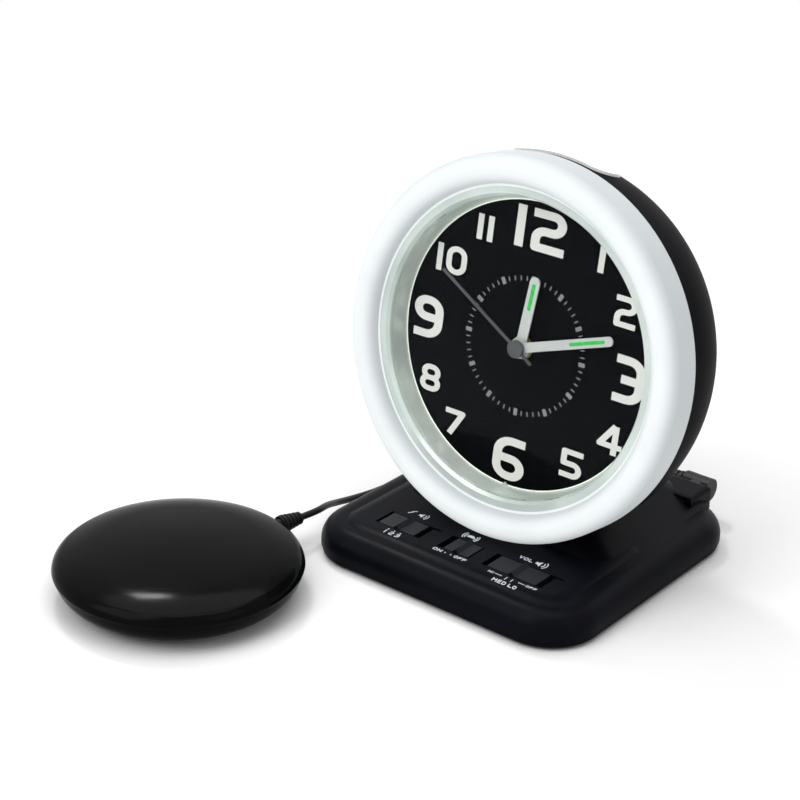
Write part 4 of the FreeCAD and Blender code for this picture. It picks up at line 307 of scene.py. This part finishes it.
print("inks:", ink_white.name, ink_grey.name, ink_pale.name)

# %% [markdown]
# ## Copper winding and battery sleeve
# The motor's coil is enamelled copper wire, laid side by side. The wire is 0.1 mm thick, too fine to
# show, so its turns are drawn 0.9 mm apart as a wave along the coil's axis, with painted highlight on
# their crests and painted shade in the grooves between them. The battery wears a shrunk plastic sleeve:
# dark along most of the cell, copper-coloured near its end, with nothing printed on it.

# %% Copper winding
WIRE_PITCH_MM = 0.9
copper, tree, where = start_material("copper_wire_enamelled")
turns = add(tree, "ShaderNodeTexWave", {"Vector": where, "Scale": repeats(WIRE_PITCH_MM), "Distortion": 0.4},
            wave_type="BANDS", bands_direction="X")
# The colour follows the wave: painted highlight on the crests of the turns, painted shade in the grooves
# between them.
tint = add(tree, "ShaderNodeMix", {"Factor": turns.outputs["Fac"], "A": srgb("7a3b1c"), "B": srgb("c0703c")},
           data_type="RGBA")
ridges = add(tree, "ShaderNodeBump", {"Height": turns.outputs["Fac"], "Strength": 0.6, "Distance": 0.2 * MM})
shader = add(tree, "ShaderNodeBsdfPrincipled", {"Base Color": tint.outputs["Result"], "Roughness": 0.3,
                                                "Metallic": 0.9, "Normal": ridges.outputs["Normal"]})
add(tree, "ShaderNodeOutputMaterial", {"Surface": shader.outputs["BSDF"]})

# %% Battery sleeve
BAND_FROM, BAND_FULL = 10.5 * MM, 10.7 * MM
sleeve, tree, where = start_material("shrink_sleeve_two_tone")
along = add(tree, "ShaderNodeSeparateXYZ", {"Vector": where})
share = add(tree, "ShaderNodeMapRange", {"Value": along.outputs["X"], "From Min": BAND_FROM,
                                         "From Max": BAND_FULL})
tint = add(tree, "ShaderNodeMix", {"Factor": share.outputs["Result"], "A": srgb("22262c"), "B": srgb("b4723a")},
           data_type="RGBA")
shader = add(tree, "ShaderNodeBsdfPrincipled", {"Base Color": tint.outputs["Result"], "Roughness": 0.26,
                                                "Metallic": 0.35})
add(tree, "ShaderNodeOutputMaterial", {"Surface": shader.outputs["BSDF"]})
print("winding drawn at", WIRE_PITCH_MM, "mm, sleeve's band from", BAND_FROM / MM, "mm")

# %% [markdown]
# ## The glowing ring and its trim
# The ring is milky acrylic with sixteen diodes behind it. Light comes out where the wall faces forwards
# and fades over the round shoulder. Real diodes behind a scattering solid would need many samples, so the
# ring glows by itself: how squarely a point faces out of the dial picks its brightness. That turns with
# the clock and not with the viewer. The bezel and the chapter ring are silvery plastic with a painted glow
# for the ring's light that falls on them, and the lens is a clear sheet that lets nearly all of it through.

# %% Directions of the leaning head
LEAN = math.radians(8.0)
FACE = Vector((0, -math.cos(LEAN), math.sin(LEAN)))
RISE = Vector((0, math.sin(LEAN), math.cos(LEAN)))
DIAL_MIDDLE = Vector((0, -5.25, 83.1)) * MM

# %% Milky acrylic, lit from behind
GLOW, GLOW_UNEVEN, GLOW_PATCH_MM = 0.70, 0.03, 17.0
GLOW_STEPS = ((0.08, (0.42, 0.44, 0.445, 1)), (0.55, (0.60, 0.63, 0.64, 1)), (0.97, (0.96, 1.0, 1.0, 1)))
acrylic, tree, where = start_material("acrylic_milky_lit")
normal = add(tree, "ShaderNodeNewGeometry").outputs["Normal"]
faces_out = add(tree, "ShaderNodeVectorMath", {0: normal, 1: FACE}, operation="DOT_PRODUCT")
ramp = add(tree, "ShaderNodeValToRGB", {"Fac": faces_out.outputs["Value"]})
steps = ramp.color_ramp.elements
steps[0].position, steps[0].color = GLOW_STEPS[0]
steps[1].position, steps[1].color = GLOW_STEPS[2]
steps.new(GLOW_STEPS[1][0]).color = GLOW_STEPS[1][1]
cloud = add(tree, "ShaderNodeTexNoise", {"Vector": where, "Scale": repeats(GLOW_PATCH_MM), "Detail": 2.0})
power = add(tree, "ShaderNodeMapRange", {
    "Value": cloud.outputs["Fac"], "From Min": NOISE_LOW, "From Max": NOISE_HIGH,
    "To Min": GLOW * (1 - GLOW_UNEVEN), "To Max": GLOW * (1 + GLOW_UNEVEN)})
shader = add(tree, "ShaderNodeBsdfPrincipled", {
    "Base Color": srgb("8a8f91"), "Roughness": 0.5, "Specular IOR Level": 0.2,
    "Emission Color": ramp.outputs["Color"], "Emission Strength": power.outputs["Result"]})
add(tree, "ShaderNodeOutputMaterial", {"Surface": shader.outputs["BSDF"]})
print("ring: glow", GLOW, "in", len(GLOW_STEPS), "steps")

# %% Silvery plastics beside the ring, with a painted glow
TRIM_PATCH_MM = 18.0


def painted_glow_trim(name, colour, other, painted_glow_share, rough):
    """Silvery plastic with a painted glow that stands in for some of the ring's light."""
    material, tree, where = start_material(name)
    tint, _ = cloudy(tree, where, TRIM_PATCH_MM, colour, other)
    shader = add(tree, "ShaderNodeBsdfPrincipled", {
        "Base Color": tint, "Roughness": rough, "Metallic": 0.25, "Emission Color": tint,
        "Emission Strength": painted_glow_share})
    add(tree, "ShaderNodeOutputMaterial", {"Surface": shader.outputs["BSDF"]})
    return material


# Painted light: the bezel and the chapter ring glow by themselves in their own colour, for the ring's light
# that falls on them.
bezel_painted_glow = painted_glow_trim("polystyrene_silvery_painted_glow", "adb8b4", "c2cbc6", 0.38, 0.2)
chapter_painted_glow = painted_glow_trim("abs_silver_lacquered_painted_glow", "a3aba4", "bcc2bb", 0.38, 0.26)
# The dial's thin rim glows by itself too: painted light where the ring's light meets the dial.
painted_rim_glow = painted_glow_trim("painted_rim_glow_sheet", "e6efe0", "f4f9ee", 0.45, 0.4)

# %% Clear lens
# Polystyrene has an IOR of 1.59 and mirrors more at a slant. The photograph shows no reflection, so the
# IOR is lowered a little and only a small share of the mirror image is kept.
LENS_IOR, MIRROR_SHARE, HAZE_PATCH_MM = 1.42, 0.07, 5.0
lens_clear, tree, where = start_material("polystyrene_clear")
slant = add(tree, "ShaderNodeFresnel", {"IOR": LENS_IOR})
share = add(tree, "ShaderNodeMath", {0: slant.outputs["Fac"], 1: MIRROR_SHARE}, operation="MULTIPLY")
speck = add(tree, "ShaderNodeTexNoise", {"Vector": where, "Scale": repeats(HAZE_PATCH_MM), "Detail": 3.0})
haze = add(tree, "ShaderNodeMapRange", {"Value": speck.outputs["Fac"], "From Min": NOISE_LOW,
                                        "From Max": NOISE_HIGH, "To Min": 0.02, "To Max": 0.05})
through = add(tree, "ShaderNodeBsdfTransparent", {"Color": srgb("fdfefe")})
mirror = add(tree, "ShaderNodeBsdfGlossy", {"Roughness": haze.outputs["Result"]})
both = add(tree, "ShaderNodeMixShader", {0: share.outputs["Value"], 1: through.outputs["BSDF"],
                                         2: mirror.outputs["BSDF"]})
add(tree, "ShaderNodeOutputMaterial", {"Surface": both.outputs["Shader"]})

# %% The hands' green fill
# Luminous paint in a groove: matt, strongly coloured, a little uneven and faintly bright by itself.
LUME_PATCH_MM, LUME_GLOW = 1.1, 0.15
lume_green, tree, where = start_material("luminous_paint_green")
tint, _ = cloudy(tree, where, LUME_PATCH_MM, "18b53c", "2fd052")
shader = add(tree, "ShaderNodeBsdfPrincipled", {"Base Color": tint, "Roughness": 0.5, "Emission Color": tint,
                                                "Emission Strength": LUME_GLOW})
add(tree, "ShaderNodeOutputMaterial", {"Surface": shader.outputs["BSDF"]})

# %% [markdown]
# ## Dressing the pieces
# Each solid takes one finish in all its slots. A table says which, so that a look down it shows whether
# a piece was forgotten, and the print at its end counts them.

# %% Which piece wears which finish
# The three cord solids wear the jacket's finish too, although the spline takes their place.
WEARS = {
    abs_satin: ["case_shell", "rear_cover", "battery_door", "time_set_knob", "alarm_set_knob"],
    abs_base_painted_ring_tint: ["base_shell", "base_plate"],
    abs_smooth: ["pad_top_shell", "pad_bottom_shell"],
    abs_caps: ["alarm_switch_cap", "shake_switch_cap", "volume_switch_cap"],
    dial_black: ["dial"],
    rubber: ["rubber_feet"],
    pvc_black: ["pad_strain_relief", "cord_plug", "cord_pad_run", "cord_coil", "cord_plug_run"],
    abs_white: ["snooze_button"],
    acetal: ["alarm_wheel", "alarm_stem", "hour_wheel", "minute_arbor", "minute_wheel", "setting_stem",
             "third_wheel", "intermediate_wheel", "snooze_plunger"],
    pbt_black: ["movement_plate", "movement_back", "snooze_switch", "shaker_jack", "power_inlet"],
    board_green: ["led_board", "main_board"],
    epoxy_cream: ["leds"],
    steel: ["movement_screws", "battery_contacts", "switch_bodies", "neck_screws", "pad_motor"],
    steel_black: ["rear_cover_screws", "base_screws", "pad_screws", "stator"],
    brass: ["second_arbor", "pad_weight"],
    ferrite: ["rotor", "speaker"],
    lacquer_pale: ["hour_hand", "minute_hand"],
    lacquer_grey: ["second_hand"],
    lacquer_olive: ["alarm_hand"],
    copper: ["motor_coil"],
    sleeve: ["battery_cell"],
    acrylic: ["light_ring"],
    bezel_painted_glow: ["inner_bezel"],
    chapter_painted_glow: ["chapter_ring"],
    lens_clear: ["front_lens"],
}
for material, names in WEARS.items():
    for name in names:
        if not nodes[name].material_slots:
            nodes[name].data.materials.append(material)
        for slot in nodes[name].material_slots:
            slot.material = material
cord.data.materials.append(pvc_black)
dressed = sum(len(names) for names in WEARS.values())
print(dressed, "of", len(nodes), "pieces dressed in", len(WEARS), "finishes")

# %% [markdown]
# ## Strokes
# The clock's numerals have one stroke width and round corners, as if drawn with a flat pen. A font file
# would bring someone's type face with it, so each sign is a few centre lines in a box, given a width.
# A bend gets its round corner from a formula. Where strokes of one sign overlap, their sheets are made
# one and then given the thickness of a layer of ink.

# %% Lines with round corners
ARC_STEPS = 6
TINY = 1e-6
NEARLY_HALF = 0.499
SHORTEST_MITRE = 0.5


def corner(before, here, after, radius):
    """Points that round one corner."""
    one, two = before - here, after - here
    half_tangent = math.tan(one.angle(two) / 2)
    reach = min(radius / half_tangent, one.length * NEARLY_HALF, two.length * NEARLY_HALF)
    radius = reach * half_tangent
    if radius < TINY:
        return [here]
    opening = one.angle(two) / 2
    one, two = one.normalized(), two.normalized()
    middle = here + (one + two).normalized() * (radius / math.sin(opening))
    start, end = here + one * reach - middle, here + two * reach - middle
    sweep = start.angle_signed(end)
    return [middle + Matrix.Rotation(-sweep * i / ARC_STEPS, 2) @ start for i in range(ARC_STEPS + 1)]


def strip(points, width):
    """Four-cornered faces either side of a line."""
    left, right_side = [], []
    for i, here in enumerate(points):
        come = (here - points[i - 1]).normalized() if i else (points[1] - here).normalized()
        go = (points[i + 1] - here).normalized() if i + 1 < len(points) else come
        along = (come + go).normalized()
        across = Vector((-along.y, along.x)) * (width / 2 / max(along.dot(come), SHORTEST_MITRE))
        left.append(here + across)
        right_side.append(here - across)
    return [(left[i], right_side[i], right_side[i + 1], left[i + 1]) for i in range(len(points) - 1)]


def stroke(points, radii, width, closed=False):
    """A line with its corners rounded, as a strip; a closed one meets its own start."""
    points = [Vector(p) for p in points]
    if closed:
        points, radii = points + points[:2], list(radii) + list(radii[:2])
    path = []
    for i, here in enumerate(points):
        inner = 0 < i < len(points) - 1
        radius = radii[i] if i < len(radii) else 0
        path += corner(points[i - 1], here, points[i + 1], radius) if inner and radius else [here]
    if closed:
        path = path[1:-1] + [path[1]]
    return strip([p for i, p in enumerate(path) if not i or (p - path[i - 1]).length > TINY], width)


# %% The signs
SHARP = 0.01
ROUND = 1.35


def sign_lines(text, w, h):
    """Centre lines of a sign in a box w by h, both counted in stroke widths: points, corner radii and,
    for a closed line, a third value."""
    r, b, m, t = w - 0.5, 0.5, h * 0.5, h - 0.5
    small, wide = ROUND * 0.8, ROUND * 1.3
    forms = {
        "1": [([(w / 2, 0), (w / 2, h)], [])],
        "2": [([(0, t), (r, t), (r, m), (b, m), (b, b), (w, b)], [0, ROUND, ROUND, ROUND, SHARP, 0])],
        "3": [([(0, t), (r, t), (r, b), (0, b)], [0, ROUND, ROUND, 0]), ([(w * 0.22, m), (r, m)], [])],
        "4": [([(r - 0.9, h), (0.6, h * 0.3), (w, h * 0.3)], [0, SHARP, 0]),
              ([(r - 0.75, h), (r - 0.75, 0)], [])],
        "5": [([(w, t), (b, t), (b, m), (r, m), (r, b), (0, b)], [0, SHARP, SHARP, ROUND, ROUND, 0])],
        "6": [([(w - 0.2, t), (b, t), (b, b), (r, b), (r, m), (b, m)], [0, wide, ROUND, ROUND, ROUND, 0])],
        "7": [([(0, t), (r, t), (w * 0.3, 0)], [0, SHARP, 0])],
        "8": [([(b, m), (b, b), (r, b), (r, m)], [small] * 4, True),
              ([(b + 0.15, m), (b + 0.15, t), (r - 0.15, t), (r - 0.15, m)], [small] * 4, True)],
        "9": [([(0.2, b), (r, b), (r, t), (b, t), (b, m), (r, m)], [0, wide, ROUND, ROUND, ROUND, 0])],
        "0": [([(b, b), (r, b), (r, t), (b, t)], [ROUND * 1.5] * 4, True)],
        "O": [([(b, b), (r, b), (r, t), (b, t)], [ROUND] * 4, True)],
        "N": [([(b, 0), (b, t), (r, b), (r, h)], [0, SHARP, SHARP, 0])],
        "F": [([(b, 0), (b, t), (w, t)], [0, SHARP, 0]), ([(b, m), (w * 0.85, m)], [])],
        "V": [([(b, h), (w / 2, b), (r, h)], [0, SHARP, 0])],
        "L": [([(b, h), (b, b), (w, b)], [0, SHARP, 0])],
        "H": [([(b, 0), (b, h)], []), ([(r, 0), (r, h)], []), ([(b, m), (r, m)], [])],
        "I": [([(w / 2, 0), (w / 2, h)], [])],
        "M": [([(b, 0), (b, t), (w / 2, m), (r, t), (r, 0)], [0, SHARP, SHARP, SHARP, 0])],
        "E": [([(w, t), (b, t), (b, b), (w, b)], [0, SHARP, SHARP, 0]), ([(b, m), (w * 0.85, m)], [])],
        "D": [([(b, b), (r, b), (r, t), (b, t)], [SHARP, ROUND, ROUND, SHARP], True)],
    }
    return forms[text]


def sign(text, x0, x1, y0, y1, wide, tall=None):
    """Faces of a sign that fills a box; its strokes may be wider across than they are tall."""
    tall = tall or wide
    return [[(x0 + p.x * wide, y0 + p.y * tall) for p in face]
            for form in sign_lines(text, (x1 - x0) / wide, (y1 - y0) / tall)
            for face in stroke(form[0], form[1], 1.0, len(form) > 2)]


def word(text, x, y, height, width, space, thick):
    """Faces of a word that starts at x, with its foot at y; I and 1 are narrow, and M is broad."""
    found = []
    for letter in text:
        its_width = thick * 1.6 if letter in "I1" else width * (1.25 if letter == "M" else 1.0)
        found += sign(letter, x, x + its_width, y, y + height, thick)
        x += its_width + space
    return found


def disc(x, y, radius, count=20):
    """A round dot."""
    ring = [(x + radius * math.cos(2 * math.pi * i / count), y + radius * math.sin(2 * math.pi * i / count))
            for i in range(count)]
    return [[(x, y), ring[i], ring[(i + 1) % count]] for i in range(count)]


def arc(x, y, radius, start, end, width, count=10):
    """A bent stroke about a centre, from one angle to another in degrees."""
    angles = [math.radians(start + (end - start) * i / count) for i in range(count + 1)]
    points = [Vector((x + radius * math.cos(a), y + radius * math.sin(a))) for a in angles]
    return [[tuple(p) for p in face] for face in strip(points, width)]


# %% Ink: one sheet from many strokes
INK_MM = 0.05
SLIVER = 1e-5
INSIDE_ONLY, MERGE_MM = 1, 1e-4


def triangles(face):
    """A face as triangles that all turn left, as the union asks; slivers are left out."""
    found, start = [], Vector(face[0])
    for one, two in zip(face[1:], face[2:]):
        one, two = Vector(one), Vector(two)
        area_twice = (one - start).cross(two - start)
        if abs(area_twice) > SLIVER:
            found.append((start, one, two) if area_twice > 0 else (start, two, one))
    return found


def marks(name, faces, spot, material, body):
    """A layer of ink: strokes in millimetres, joined, placed by spot and made a thin solid."""
    corners, threes = [], []
    for three in (three for face in faces for three in triangles(face)):
        threes.append(list(range(len(corners), len(corners) + 3)))
        corners += three
    flat, _, pieces, _, _, owners = delaunay_2d_cdt(corners, [], threes, INSIDE_ONLY, MERGE_MM)
    mesh = bpy.data.meshes.new(name)
    mesh.from_pydata([spot(point.x, point.y) for point in flat], [],
                     [piece for piece, owner in zip(pieces, owners) if owner])
    made = bpy.data.objects.new(name, mesh)
    scene.collection.objects.link(made)
    made.data.materials.append(material)
    layer = made.modifiers.new("ink", "SOLIDIFY")
    layer.thickness, layer.offset = INK_MM * MM, 0.0
    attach(made, body)
    print(name, len(mesh.polygons), "faces on", body)
    return made


# %% [markdown]
# ## The printed dial
# Large 12, 3, 6 and 9 have wide strokes, the numerals between them are smaller, and a ring of sixty grey
# marks counts the minutes. The boxes of the numerals are millimetres from the dial's middle. They could
# be text objects, but these boxes let each sign be as wide as it is on the dial.

# %% Numerals
INK_LIFT = 0.05
LARGE, SMALL = (3.7, 3.0), (2.45, 2.0)
NUMERALS = [
    ("1", -10.2, -6.5, 35.2, 50.3, LARGE), ("2", -3.3, 10.9, 35.2, 50.3, LARGE),
    ("6", -7.1, 7.1, -51.0, -34.7, LARGE), ("9", -50.2, -36.7, -8.4, 7.4, LARGE),
    ("3", 38.5, 50.8, -8.6, 8.3, LARGE), ("1", 25.4, 27.9, 34.1, 43.4, SMALL),
    ("2", 34.7, 43.6, 17.6, 28.7, SMALL), ("4", 35.0, 45.6, -28.3, -17.6, SMALL),
    ("5", 21.8, 31.0, -42.0, -31.4, SMALL), ("7", -30.4, -21.4, -41.4, -31.7, SMALL),
    ("8", -43.8, -34.4, -28.1, -17.8, SMALL), ("1", -42.7, -40.4, 18.1, 28.4, SMALL),
    ("0", -38.5, -29.3, 18.0, 28.6, SMALL), ("1", -26.5, -24.2, 33.6, 43.0, SMALL),
    ("1", -21.9, -19.7, 33.6, 43.0, SMALL),
]


def on_dial(x, y, out=INK_LIFT):
    """A place on the dial, in millimetres from its middle."""
    return DIAL_MIDDLE + Vector((x * MM, 0, 0)) + RISE * (y * MM) + FACE * (out * MM)


numeral_faces = [face for text, x0, x1, y0, y1, (wide, tall) in NUMERALS
                 for face in sign(text, x0, x1, y0, y1, wide, tall)]
marks("dial_numerals", numeral_faces, on_dial, ink_white, "clock")

# %% Minute track and the painted glow at the dial's rim
HOUR_MARK, MINUTE_MARK = (23.4, 26.0, 0.75), (23.9, 25.6, 0.19)
EDGE_IN, EDGE_OUT = 52.7, 53.15


def clock_ways(angle):
    """The way out at a clock angle in degrees, and the way across it."""
    turn = math.radians(angle)
    return Vector((math.sin(turn), math.cos(turn))), Vector((math.cos(turn), -math.sin(turn)))


track = []
for minute in range(60):
    out, side = clock_ways(minute * 6)
    low, high, half = MINUTE_MARK if minute % 5 else HOUR_MARK
    near, away, across = out * low, out * high, side * half
    track.append([near - across, near + across, away + across, away - across])
marks("dial_track", track, on_dial, ink_grey, "clock")
# The thin glowing ring along the dial's edge is painted light: the bright line where the ring's light meets the
# dial.
rims = [clock_ways(angle)[0] for angle in range(0, 363, 3)]
edge = [[a * EDGE_IN, a * EDGE_OUT, b * EDGE_OUT, b * EDGE_IN] for a, b in zip(rims, rims[1:])]
marks("dial_edge", edge, on_dial, painted_rim_glow, "clock")

# %% Green stripes in the hands
HOUR_STRIPE, HOUR_ANGLE, HOUR_TOP = (15.0, 23.6, 1.5), 5.92, 2.83
MINUTE_STRIPE, MINUTE_ANGLE, MINUTE_TOP = (22.8, 36.4, 1.3), 71.0, 4.13


def stripe(start, end, width, angle):
    """A stripe with round ends along a hand."""
    ends = [clock_ways(angle)[0] * start, clock_ways(angle)[0] * end]
    return strip(ends, width) + [face for spot in ends for face in disc(spot.x, spot.y, width / 2)]


marks("hour_lume", stripe(*HOUR_STRIPE, HOUR_ANGLE), lambda x, y: on_dial(x, y, HOUR_TOP),
      lume_green, "hour")
marks("minute_lume", stripe(*MINUTE_STRIPE, MINUTE_ANGLE), lambda x, y: on_dial(x, y, MINUTE_TOP),
      lume_green, "minute")

# %% [markdown]
# ## Switch scales
# Pale signs are printed around the three switches: 1 2 3 for the alarm's kind, ON and OFF for the shaker,
# HI MED LO OFF for the volume, and a small picture behind each. The plateau rounds off towards the
# front, so each point of ink is lowered with it. That could also be done with a shrinkwrap, but the
# rounding is a plain quarter circle, and a formula keeps the ink's thickness even.

# %% The plateau's top
PLATEAU_TOP, PLATEAU_FLAT_TO, PLATEAU_EDGE = 14.6, -46.0, 9.0
TOP_LIFT = 0.06


def on_top(x, y):
    """A place on the plateau, which is flat and then rounds off towards the front."""
    beyond = max(0.0, PLATEAU_FLAT_TO - y)
    drop = PLATEAU_EDGE - math.sqrt(PLATEAU_EDGE ** 2 - beyond ** 2)
    return Vector((x, y, PLATEAU_TOP + TOP_LIFT - drop)) * MM


# %% Small pictures


def speaker(x, y, size):
    """A loudspeaker with two sound waves."""
    box, cone, mouth = size * 0.2, size * 0.16, size * 0.42
    found = [[(x, y - cone), (x + box, y - cone), (x + box, y + cone), (x, y + cone)],
             [(x + box, y - cone), (x + size * 0.5, y - mouth), (x + size * 0.5, y + mouth),
              (x + box, y + cone)]]
    for radius in (0.42, 0.68):
        found += arc(x + size * 0.42, y, size * radius, -48, 48, size * 0.1)
    return found


def shaking(x, y, size, count=10):
    """A pad that shakes: a low dome between waves on both sides."""
    angles = [math.pi * i / count for i in range(count + 1)]
    found = [[(x + size * 0.42 * math.cos(a), y - size * 0.18 + size * 0.4 * math.sin(a)) for a in angles]]
    for radius in (0.58, 0.78):
        found += arc(x, y - size * 0.06, size * radius, -38, 38, size * 0.1)
        found += arc(x, y - size * 0.06, size * radius, 142, 218, size * 0.1)
    return found


def flash(x, y, size):
    """A small flash: a slanted double stroke."""
    bends = [(x, y - size * 0.4), (x + size * 0.34, y + size * 0.06), (x + size * 0.2, y + size * 0.1),
             (x + size * 0.62, y + size * 0.45)]
    return stroke(bends, [0, 0.05, 0.05, 0], size * 0.13)


def dash(x0, x1, y, thick=0.3):
    """A short level line."""
    return [[(x0, y - thick / 2), (x1, y - thick / 2), (x1, y + thick / 2), (x0, y + thick / 2)]]


# %% The scales
THIN, BOLD, DOT, SCALE_Y = 0.33, 0.36, 0.3, -44.6
ALARM_FIRST, ALARM_STEP, ALARM_ROW, ALARM_DOTS_Y = -28.8, 2.75, (-47.2, 2.2, 1.7, 0.3, 0.38), -44.2
# Each word's row: text, left, foot, height, letters' width, space between them and stroke.
SHAKER_WORDS = [("ON", -7.9, -45.3, 1.7, 1.75, 0.4, BOLD), ("OFF", 1.6, -45.3, 1.7, 1.5, 0.35, BOLD)]
VOLUME_WORDS = [
    ("HI", 17.0, -45.3, 1.3, 1.4, 0.35, THIN), ("I", 24.6, -46.0, 1.9, 1.0, 0.3, THIN),
    ("I", 27.1, -46.0, 1.9, 1.0, 0.3, THIN), ("OFF", 33.2, -45.3, 1.3, 1.3, 0.32, THIN),
    ("MED", 21.2, -48.8, 1.7, 1.5, 0.4, BOLD), ("LO", 28.0, -48.8, 1.7, 1.5, 0.4, BOLD),
]
DOTS = [(-2.5, -44.5), (0.0, -44.5), (22.4, SCALE_Y), (30.2, SCALE_Y)]
DASHES = [(19.8, 22.0), (30.6, 32.6)]

labels = flash(-31.4, -28.2, 3.6) + speaker(-27.2, -28.1, 3.6) + shaking(-2.4, -28.9, 4.2)
labels += word("VOL", 19.3, -30.0, 1.9, 1.7, 0.4, BOLD) + speaker(26.4, -28.9, 4.2)
for i, text in enumerate("123"):
    x = ALARM_FIRST + i * ALARM_STEP
    labels += word(text, x - (0.35 if text == "1" else 0.8), *ALARM_ROW)
    labels += disc(x, ALARM_DOTS_Y, DOT)
for row in SHAKER_WORDS + VOLUME_WORDS:
    labels += word(*row)
for x, y in DOTS:
    labels += disc(x, y, DOT)
for x0, x1 in DASHES:
    labels += dash(x0, x1, SCALE_Y)
marks("switch_marks", labels, on_top, ink_pale, "clock")

# %% [markdown]
# ## Floor
# The clock stands on white paper. Near it the paper is shaded as paper is, so that the clock's shadow and
# the soft dark line under its edge stay. Further out it blends into plain white for whoever looks at
# it directly or in a mirror, which gives the photograph's white ground with no more light on the clock.

# %% White paper
PAPER_NEAR, PAPER_FAR = 0.16, 0.5
PAPER_PATCH_MM = 33.0
FLOOR_HALF = 6.0


def seen_directly(tree):
    """1 for what the camera sees, straight, mirrored or through something clear; 0 for other light."""
    path = add(tree, "ShaderNodeLightPath").outputs
    straight = add(tree, "ShaderNodeMath", {0: path["Is Camera Ray"], 1: path["Is Transmission Ray"]},
                   operation="MAXIMUM")
    either = add(tree, "ShaderNodeMath", {0: straight.outputs["Value"], 1: path["Is Glossy Ray"]},
                 operation="MAXIMUM")
    return either.outputs["Value"]


paper, tree, where = start_material("paper_white")
tint, _ = cloudy(tree, where, PAPER_PATCH_MM, "eaeaea", "ececec")
matt = add(tree, "ShaderNodeBsdfDiffuse", {"Color": tint, "Roughness": 0.4})
white = add(tree, "ShaderNodeEmission", {"Color": (1, 1, 1, 1), "Strength": 1.0})
away = add(tree, "ShaderNodeVectorMath", {0: where}, operation="LENGTH")
far = add(tree, "ShaderNodeMapRange", {"Value": away.outputs["Value"], "From Min": PAPER_NEAR,
                                       "From Max": PAPER_FAR}, interpolation_type="SMOOTHSTEP")
share = add(tree, "ShaderNodeMath", {0: far.outputs["Result"], 1: seen_directly(tree)}, operation="MULTIPLY")
both = add(tree, "ShaderNodeMixShader", {0: share.outputs["Value"], 1: matt.outputs["BSDF"],
                                         2: white.outputs["Emission"]})
add(tree, "ShaderNodeOutputMaterial", {"Surface": both.outputs["Shader"]})

floor_mesh = bpy.data.meshes.new("floor")
rim = [(x * FLOOR_HALF, y * FLOOR_HALF, 0) for x, y in ((-1, -1), (1, -1), (1, 1), (-1, 1))]
floor_mesh.from_pydata(rim, [], [(0, 1, 2, 3)])
floor = bpy.data.objects.new("floor", floor_mesh)
scene.collection.objects.link(floor)
floor.data.materials.append(paper)
print("floor", 2 * FLOOR_HALF, "m wide")

# %% [markdown]
# ## Light
# One large soft lamp overhead gives the plain studio light. A small one at the rear left is what the
# pad's dome mirrors as its highlight. A soft one in front lights the dial and the paper, and two weak
# ones lift the right side and the rear. The world is white where the camera or a mirror looks, and a
# soft grey on everything else. A picture of a studio round the scene would do the same, but lamps can be
# named, placed and changed one by one.

# %% Lamps: place, aim, width, depth and watts
PAD_MIDDLE = (-0.073, -0.108, 0.01)
LAMPS = {
    "top_light": ((-0.1, 0.1, 1.3), (0, 0, 0), 1.3, 1.3, 15),
    "highlight": ((-0.64, 0.26, 1.0), PAD_MIDDLE, 0.16, 0.08, 3.4),
    "front_light": ((-0.35, -0.9, 0.95), (-0.03, -0.05, 0), 0.9, 0.9, 7),
    "side_light": ((1.2, -0.1, 0.9), (0, 0, 0.05), 0.8, 0.8, 1.5),
    "back_light": ((0.2, 1.2, 0.8), (0, 0, 0.05), 1.0, 1.0, 3),
}
for name, (place, aim, width, depth, watts) in LAMPS.items():
    lamp = bpy.data.lights.new(name, "AREA")
    lamp.shape, lamp.size, lamp.size_y, lamp.energy = "RECTANGLE", width, depth, watts
    stand = bpy.data.objects.new(name, lamp)
    scene.collection.objects.link(stand)
    stand.location = place
    stand.rotation_euler = (Vector(aim) - Vector(place)).to_track_quat("-Z", "Y").to_euler()
print(len(LAMPS), "lamps,", sum(lamp[-1] for lamp in LAMPS.values()), "W together")

# %% The world
SOFT_GREY = 0.3
world = bpy.data.worlds.new("studio")
scene.world = world
world.use_nodes = True
tree = world.node_tree
tree.nodes.clear()
strength = add(tree, "ShaderNodeMapRange", {"Value": seen_directly(tree), "To Min": SOFT_GREY, "To Max": 1.0})
back = add(tree, "ShaderNodeBackground", {"Color": (1, 1, 1, 1), "Strength": strength.outputs["Result"]})
add(tree, "ShaderNodeOutputWorld", {"Surface": back.outputs["Background"]})
